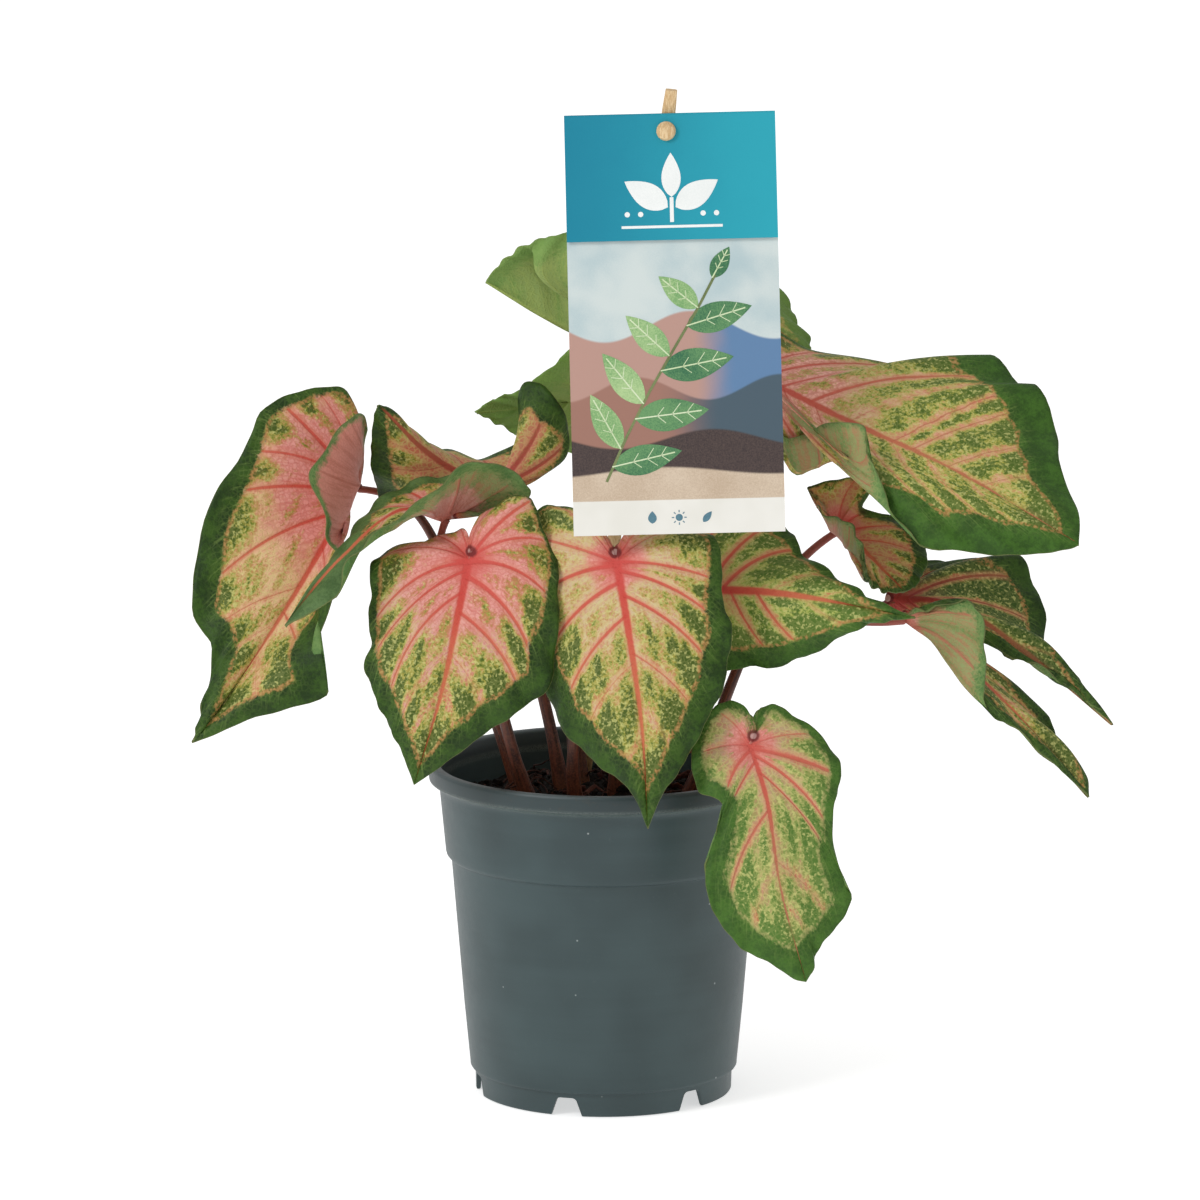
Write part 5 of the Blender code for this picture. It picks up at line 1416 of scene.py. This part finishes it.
def applied(obj):
    """Replaces an object's mesh by its evaluated one and drops its modifiers."""
    graph = bpy.context.evaluated_depsgraph_get()
    mesh = bpy.data.meshes.new_from_object(obj.evaluated_get(graph))
    obj.modifiers.clear()
    obj.data = mesh


def make_pot(mat):
    pot = finish_mesh("pot_shell", turned(POT_PROFILE, POT_TURNS), [mat])
    cutters = []
    for index in range(NOTCH_COUNT):
        turn = math.radians(NOTCH_FIRST_DEG + 360 / NOTCH_COUNT * index)
        cutters += [notch(turn), drain(turn + math.pi / NOTCH_COUNT)]
    cutter = finish_mesh("pot_cutter", join_meshes(cutters), [])
    boolean = pot.modifiers.new("notches", "BOOLEAN")
    boolean.operation = "DIFFERENCE"
    boolean.solver = "EXACT"
    boolean.object = cutter
    bpy.context.view_layer.update()
    applied(pot)
    bpy.data.objects.remove(cutter)
    pot.data.shade_smooth()
    pot.data.set_sharp_from_angle(angle=math.radians(POT_SHARP_DEG))
    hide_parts("pot")


# LABEL

CARD_WIDTH = 71.0
CARD_HEIGHT = 142.0
FLAP_HEIGHT = 43.0
CARD_THICKNESS = 0.6
SHEET_THICKNESS = 0.45  # of the visible sheet
CARD_TILT_DEG = 15.5
CARD_ROLL_DEG = -1.4
HOLE_DROP = 6.0  # mm from the fold down to the middle of the hole
CARD_MIDDLE = 1.3  # mm from the hole across to the card's middle
CARD_HOLE_SEEN = (666, 131, -21)  # on the photo, as the leaves' points are
FOLD_GAP = 0.7
FOLD_STEPS = 8
STRIP_TOP = -124.5
PRINT_GAP = 0.05
LAYER_GAP = 0.01  # mm between printed layers
OUTLINE_STEPS = 14


def card_frame():
    """The card's own axes, from the middle of its hole: across, back and up."""
    hole = Vector(seen(*CARD_HOLE_SEEN))
    return (Matrix.Translation(hole) @ Matrix.Rotation(math.radians(CARD_ROLL_DEG), 4, "Y")
            @ Matrix.Rotation(math.radians(-CARD_TILT_DEG), 4, "X"))


def paper_surface(name):
    """A satin printed surface and the two noises that vary its colour."""
    surface = Surface(name, 0.5, 0.3)
    place = surface.place()
    fine = surface.noise(place, 0.5, 2, 0.7)
    cloudy = surface.noise(place, 16, 2)
    surface.roughness(0.42 + fine * 0.16)
    surface.bump(fine, 0.03)
    return surface, fine, cloudy


def ink(name, colour, shade):
    """One printed colour with the print's fine grain."""
    surface, fine, cloudy = paper_surface(name)
    surface.colour((fine * 0.5 + cloudy * 0.5).step(0.3, 0.7).mixed(colour, shade))
    return surface.material


def card_print():
    """White paper with a teal flap, soft hills in muted colours and a cream strip on its front."""
    surface, fine, cloudy = paper_surface("card print")
    across, depth, up = surface.attribute("card")
    soft = (cloudy - 0.5) * 9
    sky = (cloudy + fine * 0.2).step(0.3, 0.8).mixed(srgb(176, 196, 200), srgb(206, 216, 214))
    far_hill = (across + soft).step(6, 20).mixed(srgb(184, 146, 134), srgb(96, 130, 168))
    near_hill = (across + soft).step(-6, 16).mixed(srgb(158, 116, 102), srgb(74, 92, 104))
    ground = fine.step(0.3, 0.7).mixed(srgb(62, 52, 52), srgb(84, 70, 66))
    table = (fine * 0.5 + cloudy * 0.5).step(0.3, 0.7).mixed(srgb(190, 168, 144), srgb(216, 198, 176))
    hills = ((-66, 5, 0.11, 1, far_hill), (-87, 4, 0.13, 3.3, near_hill),
             (-104, 3, 0.1, 0.4, ground), (-115, 1.5, 0.08, 2, table))
    picture = sky
    for level, height, rate, start, colour in hills:
        wave = (across * rate + start).math("SINE") * height + level
        picture = (up - wave).step(0.5, -0.5).mixed(picture, colour)
    strip = cloudy.step(0.3, 0.7).mixed(srgb(228, 226, 217), srgb(236, 234, 227))
    front = up.step(STRIP_TOP + 0.15, STRIP_TOP - 0.15).mixed(picture, strip)
    white = cloudy.step(0.3, 0.7).mixed(srgb(224, 221, 212), srgb(236, 233, 226))
    teal = (across + soft * 1.5 + fine * 12).step(-34, 46).mixed(srgb(16, 130, 156), srgb(38, 164, 182))
    base = depth.step(0.4, 0.2).mixed(white, front)
    base = depth.step(-0.2, -0.5).mixed(base, teal)
    surface.colour(base)
    return surface.material


def leaf_outline(x, z, length, width, turn_deg):
    """A pointed leaf that starts at (x, z) and grows in a direction counted from straight up."""
    turn = math.radians(turn_deg)
    along = (math.sin(turn), math.cos(turn))
    aside = (math.cos(turn), -math.sin(turn))
    points = []
    for side, steps in ((1, range(OUTLINE_STEPS + 1)), (-1, range(OUTLINE_STEPS - 1, 0, -1))):
        for step in steps:
            t = step / OUTLINE_STEPS
            out = side * width / 2 * math.sin(math.pi * t**0.8) ** 0.9
            points.append((x + along[0] * length * t + aside[0] * out,
                           z + along[1] * length * t + aside[1] * out))
    return points


def disc(x, z, radius):
    return [(x + radius * math.cos(a), z + radius * math.sin(a))
            for a in (math.pi * i / 12 for i in range(24))]


def ahead(x, z, turn, reach):
    """The point at a distance from (x, z) in a direction counted from straight up."""
    return x + reach * math.sin(turn), z + reach * math.cos(turn)


def bar(x, z, end_x, end_z, width):
    """A straight stroke."""
    way = unit(np.array([end_x - x, end_z - z]))
    out = np.array([-way[1], way[0]]) * width / 2
    return [(x + out[0], z + out[1]), (end_x + out[0], end_z + out[1]),
            (end_x - out[0], end_z - out[1]), (x - out[0], z - out[1])]


def print_layer(name, polygons, depth, mat):
    """Printed shapes, given as (across, up) in mm, just in front of the card at a depth."""
    bm = bmesh.new()
    toward = card_frame().to_3x3() @ Vector((0, -1, 0))
    for polygon in polygons:
        face = bm.faces.new([bm.verts.new((CARD_MIDDLE + x, depth, z)) for x, z in polygon])
        bmesh.ops.transform(bm, verts=face.verts[:], matrix=card_frame())
        face.normal_update()
        if face.normal.dot(toward) < 0:
            face.normal_flip()
    bmesh.ops.triangulate(bm, faces=bm.faces)
    piece = finish_mesh(name, bm, [mat])


def make_emblem(depth):
    """A white sprout over a rule, on the flap."""
    white = ink("emblem ink", srgb(232, 236, 234), srgb(244, 246, 244))
    shapes = [leaf_outline(1.3, -26, 17, 8.5, 58), leaf_outline(-1.3, -26, 17, 8.5, -58),
              leaf_outline(0, -22.5, 15, 6.5, 0), bar(0, -22.6, 0, -31, 1.3),
              bar(-17, -32.5, 17, -32.5, 0.9)]
    shapes += [disc(x, -28.2, 0.9) for x in (-15, -10.5, 10.5, 15)]
    print_layer("print_emblem", shapes, depth, white)


def make_branch(depth):
    """A leafy branch over the hills, with its leaf veins."""
    stem = [(-24, -118), (-17, -103), (-9, -88), (0, -73), (8, -60), (14, -49)]
    strokes = [bar(*a, *b, 0.9) for a, b in zip(stem, stem[1:])]
    twigs = ((-22, -113, 24, 10, 78), (-19, -107, 21, 9, -28), (-14, -97, 25, 11, 84),
             (-11, -92, 22, 9.5, -38), (-5, -81, 25, 11, 80), (-2, -76, 20, 9, -46),
             (4, -66, 23, 10, 74), (8, -60, 17, 8, -50), (13, -50, 12, 6, 30))
    deep = [leaf_outline(*twig) for twig in twigs[::2]]
    light = [leaf_outline(*twig) for twig in twigs[1::2]]
    veins = []
    for x, z, length, width, turn_deg in twigs:
        turn = math.radians(turn_deg)
        veins.append(bar(x, z, *ahead(x, z, turn, 0.9 * length), 0.45))
        for share in (0.3, 0.5, 0.7):
            start = ahead(x, z, turn, share * length)
            reach = width * 0.42 * math.sin(math.pi * share)
            for side in (-1, 1):
                veins.append(bar(*start, *ahead(*start, turn + side * 0.8, reach), 0.25))
    print_layer("print_branch", strokes, depth - 2 * LAYER_GAP,
                ink("branch ink", srgb(98, 112, 70), srgb(128, 140, 92)))
    print_layer("print_leaves_deep", deep, depth,
                ink("deep leaf ink", srgb(48, 104, 74), srgb(112, 158, 104)))
    print_layer("print_leaves_light", light, depth,
                ink("light leaf ink", srgb(104, 156, 96), srgb(176, 204, 146)))
    print_layer("print_leaf_veins", veins, depth - 3 * LAYER_GAP,
                ink("vein ink", srgb(196, 216, 168), srgb(218, 230, 196)))


def make_icons(depth):
    """Small care signs on the cream strip: a drop, a sun and a leaf."""
    middle = STRIP_TOP - 6.0
    shapes = [leaf_outline(-9, middle - 1.9, 4.2, 2.9, 0), disc(0, middle, 1.2),
              leaf_outline(8, middle - 1.7, 4.6, 2.2, 40)]
    for index in range(8):
        x, z = math.cos(index * math.pi / 4), math.sin(index * math.pi / 4)
        shapes.append(bar(1.7 * x, middle + 1.7 * z, 2.5 * x, middle + 2.5 * z, 0.35))
    print_layer("print_icons", shapes, depth, ink("icon ink", srgb(78, 118, 134), srgb(98, 136, 150)))


def fold_arc(middle, height, radius):
    """Half a circle over the fold, from the back of the card to its front."""
    turns = [math.pi * step / FOLD_STEPS for step in range(FOLD_STEPS + 1)]
    return [(middle + radius * math.cos(turn), height + radius * math.sin(turn)) for turn in turns]


def make_card():
    """One sheet folded over at the top, drawn as its section and pulled out to the card's width."""
    t = SHEET_THICKNESS
    top, low, flap = HOLE_DROP, HOLE_DROP - CARD_HEIGHT, HOLE_DROP - FLAP_HEIGHT
    back, front = CARD_THICKNESS, -FOLD_GAP - CARD_THICKNESS
    reach = (back - front) / 2
    fold = fold_arc((back + front) / 2, top - reach, reach)
    inner = fold_arc((back + front) / 2, top - reach, reach - t)[::-1]
    outline = [(back, low), *fold, (front, flap), (front + t, flap), *inner, (back - t, low)]
    bm = bmesh.new()
    left = [bm.verts.new((-CARD_WIDTH / 2, y, z)) for y, z in outline]
    face = bm.faces.new(left)
    pulled = bmesh.ops.extrude_face_region(bm, geom=[face])
    moved = [v for v in pulled["geom"] if isinstance(v, bmesh.types.BMVert)]
    bmesh.ops.translate(bm, verts=moved, vec=(CARD_WIDTH, 0, 0))
    bmesh.ops.recalc_face_normals(bm, faces=bm.faces)
    layer = bm.loops.layers.float_vector.new("card")
    for face in bm.faces:
        for loop in face.loops:
            loop[layer] = loop.vert.co
    bmesh.ops.translate(bm, verts=bm.verts, vec=(CARD_MIDDLE, 0, 0))
    bmesh.ops.transform(bm, verts=bm.verts, matrix=card_frame())
    card = finish_mesh("card_sheet", bm, [card_print()], 30)
    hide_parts("label_card")
    make_emblem(front - PRINT_GAP)
    make_branch(back - t - PRINT_GAP)
    make_icons(back - t - PRINT_GAP)


# STICK

STICK_FOOT = (-9.0, 36.0, 84.0)
STICK_BACK = 3.3
STICK_WIDTH = 4.6
STICK_DEPTH = 2.4
STICK_ABOVE_HOLE = 15.5
STICK_RINGS = 40
STICK_SIDES = 16
STICK_SQUARENESS = 0.45  # 1 makes the section an ellipse, and less squares it
STICK_END = 0.86  # factor on the section at the top end
PEG_RADIUS = 2.75
PEG_END = (0, -3.6, -0.3)  # on the card's own axes
PEG_SHARES = (0, 0.62, 0.66, 0.78, 0.9, 0.97, 1.0)
PEG_RADII = (1, 1, 1.16, 1.2, 1.14, 0.9, 0.5)  # factors on its radius at these shares of its length


def bamboo():
    surface = Surface("bamboo", 0.6, 0.3)
    place = surface.place()
    x, y, z = place.parts()
    grain = surface.noise(surface.vector(x * 2.2, y * 2.2, z * 0.06), 1.1, 4, 0.6)
    fine = surface.noise(place, 0.5, 2)
    base = grain.step(0.3, 0.7).mixed(srgb(196, 160, 112), srgb(230, 203, 160))
    base = (fine.step(0.6, 0.8) * 0.3).mixed(base, srgb(160, 122, 80))
    surface.colour(base)
    surface.bump(grain, 0.25)
    return surface.material


def squared(turn):
    """The point of a rounded square with half sides of 1, at an angle."""
    return [math.copysign(abs(part) ** STICK_SQUARENESS, part) for part in (math.cos(turn), math.sin(turn))]


def make_stick(mat):
    """A flat stick from the soil past the hole of the card, and the peg that the card hangs on."""
    card_axes = card_frame()
    seat = card_axes @ Vector((0, CARD_THICKNESS + STICK_BACK + STICK_DEPTH / 2, 0))
    foot = Vector(STICK_FOOT)
    way = (seat - foot).normalized()
    top = seat + way * STICK_ABOVE_HOLE
    side = Vector((1, 0, 0)) - way * way.x
    side.normalize()
    deep = way.cross(side)
    bm = bmesh.new()
    section = [squared(2 * math.pi * (turn + 0.5) / STICK_SIDES) for turn in range(STICK_SIDES)]
    rings = []
    for index in range(STICK_RINGS + 1):
        middle = foot + (top - foot) * index / STICK_RINGS
        size = 1 if index < STICK_RINGS else STICK_END
        rings.append([bm.verts.new(middle + side * (u * size * STICK_WIDTH / 2)
                                   + deep * (v * size * STICK_DEPTH / 2)) for u, v in section])
    join_rings(bm, rings)
    peg_start, peg_end = np.array(seat), np.array(card_axes @ Vector(PEG_END))
    peg = peg_start + (peg_end - peg_start) * np.array(PEG_SHARES)[:, None]
    tube(bm, peg, PEG_RADIUS * np.array(PEG_RADII), 24)
    bmesh.ops.recalc_face_normals(bm, faces=bm.faces)
    stick = finish_mesh("stick_and_peg", bm, [mat], 50)
    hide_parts("label_stick")


# STAGE

SKY_LIGHT = 0.62  # the light that the white surroundings give, as a share of how bright they look
KEY_POWER = 23.0
# The lamp and the floor, in metres.
KEY_PLACE = (-1.65, -1.4, 1.75)
KEY_TARGET = (0, 0, 0.15)
KEY_SIZE = 0.9
FLOOR_RADIUS = 6
FLOOR_HEIGHT = -0.0002
FLOOR_GLOW = 0.58  # keeps the floor as white as the photo's background


def make_camera():
    """The photo's viewpoint. The pot's axis lies a few pixels to the right of the middle."""
    camera = bpy.data.cameras.new("camera")
    camera.sensor_width = SENSOR_MM
    camera.lens = VIEW_FOCAL_PX * SENSOR_MM / (2 * VIEW_MIDDLE_PX)
    camera.clip_end = 20
    obj = bpy.data.objects.new("camera", camera)
    across = (VIEW_MIDDLE_PX - POT_AXIS_PX) * VIEW_DISTANCE / VIEW_FOCAL_PX
    obj.location = Vector(AXIS) + Vector((across, -VIEW_DISTANCE, VIEW_HEIGHT)) * MM
    obj.rotation_euler = (math.pi / 2 - VIEW_PITCH, 0, 0)
    bpy.context.scene.collection.objects.link(obj)
    bpy.context.scene.camera = obj


def area_light(name, place, target, size, power):
    """A round lamp at a place, turned to its target."""
    light = bpy.data.lights.new(name, "AREA")
    light.shape = "DISK"
    light.size = size
    light.energy = power
    obj = bpy.data.objects.new(name, light)
    obj.location = place
    way = Vector(target) - Vector(place)
    obj.rotation_euler = way.to_track_quat("-Z", "Y").to_euler()
    bpy.context.scene.collection.objects.link(obj)


def make_stage():
    """White surroundings that look brighter than they light, a white floor and one lamp."""
    world = bpy.data.worlds.new("studio")
    bpy.context.scene.world = world
    world.use_nodes = True
    tree = world.node_tree
    tree.nodes["Background"].inputs["Color"].default_value = (1, 1, 1, 1)
    seen_ray = Value(tree, tree.nodes.new("ShaderNodeLightPath").outputs["Is Camera Ray"])
    plug(tree, seen_ray * (1 - SKY_LIGHT) + SKY_LIGHT, tree.nodes["Background"].inputs["Strength"])
    bm = bmesh.new()
    bmesh.ops.create_circle(bm, cap_ends=True, segments=64, radius=FLOOR_RADIUS)
    mesh = bpy.data.meshes.new("floor")
    bm.to_mesh(mesh)
    bm.free()
    floor = bpy.data.objects.new("floor", mesh)
    floor.location = (0, 0, FLOOR_HEIGHT)
    surface = Surface("floor", 0.9, 0.0)
    surface.colour(srgb(236, 236, 236))
    surface.shader.inputs["Emission Color"].default_value = (1, 1, 1, 1)
    surface.shader.inputs["Emission Strength"].default_value = FLOOR_GLOW
    mesh.materials.append(surface.material)
    bpy.context.scene.collection.objects.link(floor)
    area_light("key", KEY_PLACE, KEY_TARGET, KEY_SIZE, KEY_POWER)
    bpy.context.scene.view_settings.view_transform = "Standard"


make_camera()
make_stage()
make_leaves()
make_stems()
soil_look = soil_material()
make_soil(soil_look)
make_crumbs(soil_look)
make_roots(fibre_material("root fibre", srgb(38, 22, 18), srgb(86, 52, 42)))
make_scraps(fibre_material("dry sheath", srgb(56, 30, 26), srgb(112, 66, 56)))
dress_tuber()
make_pot(pot_material())
make_card()
make_stick(bamboo())
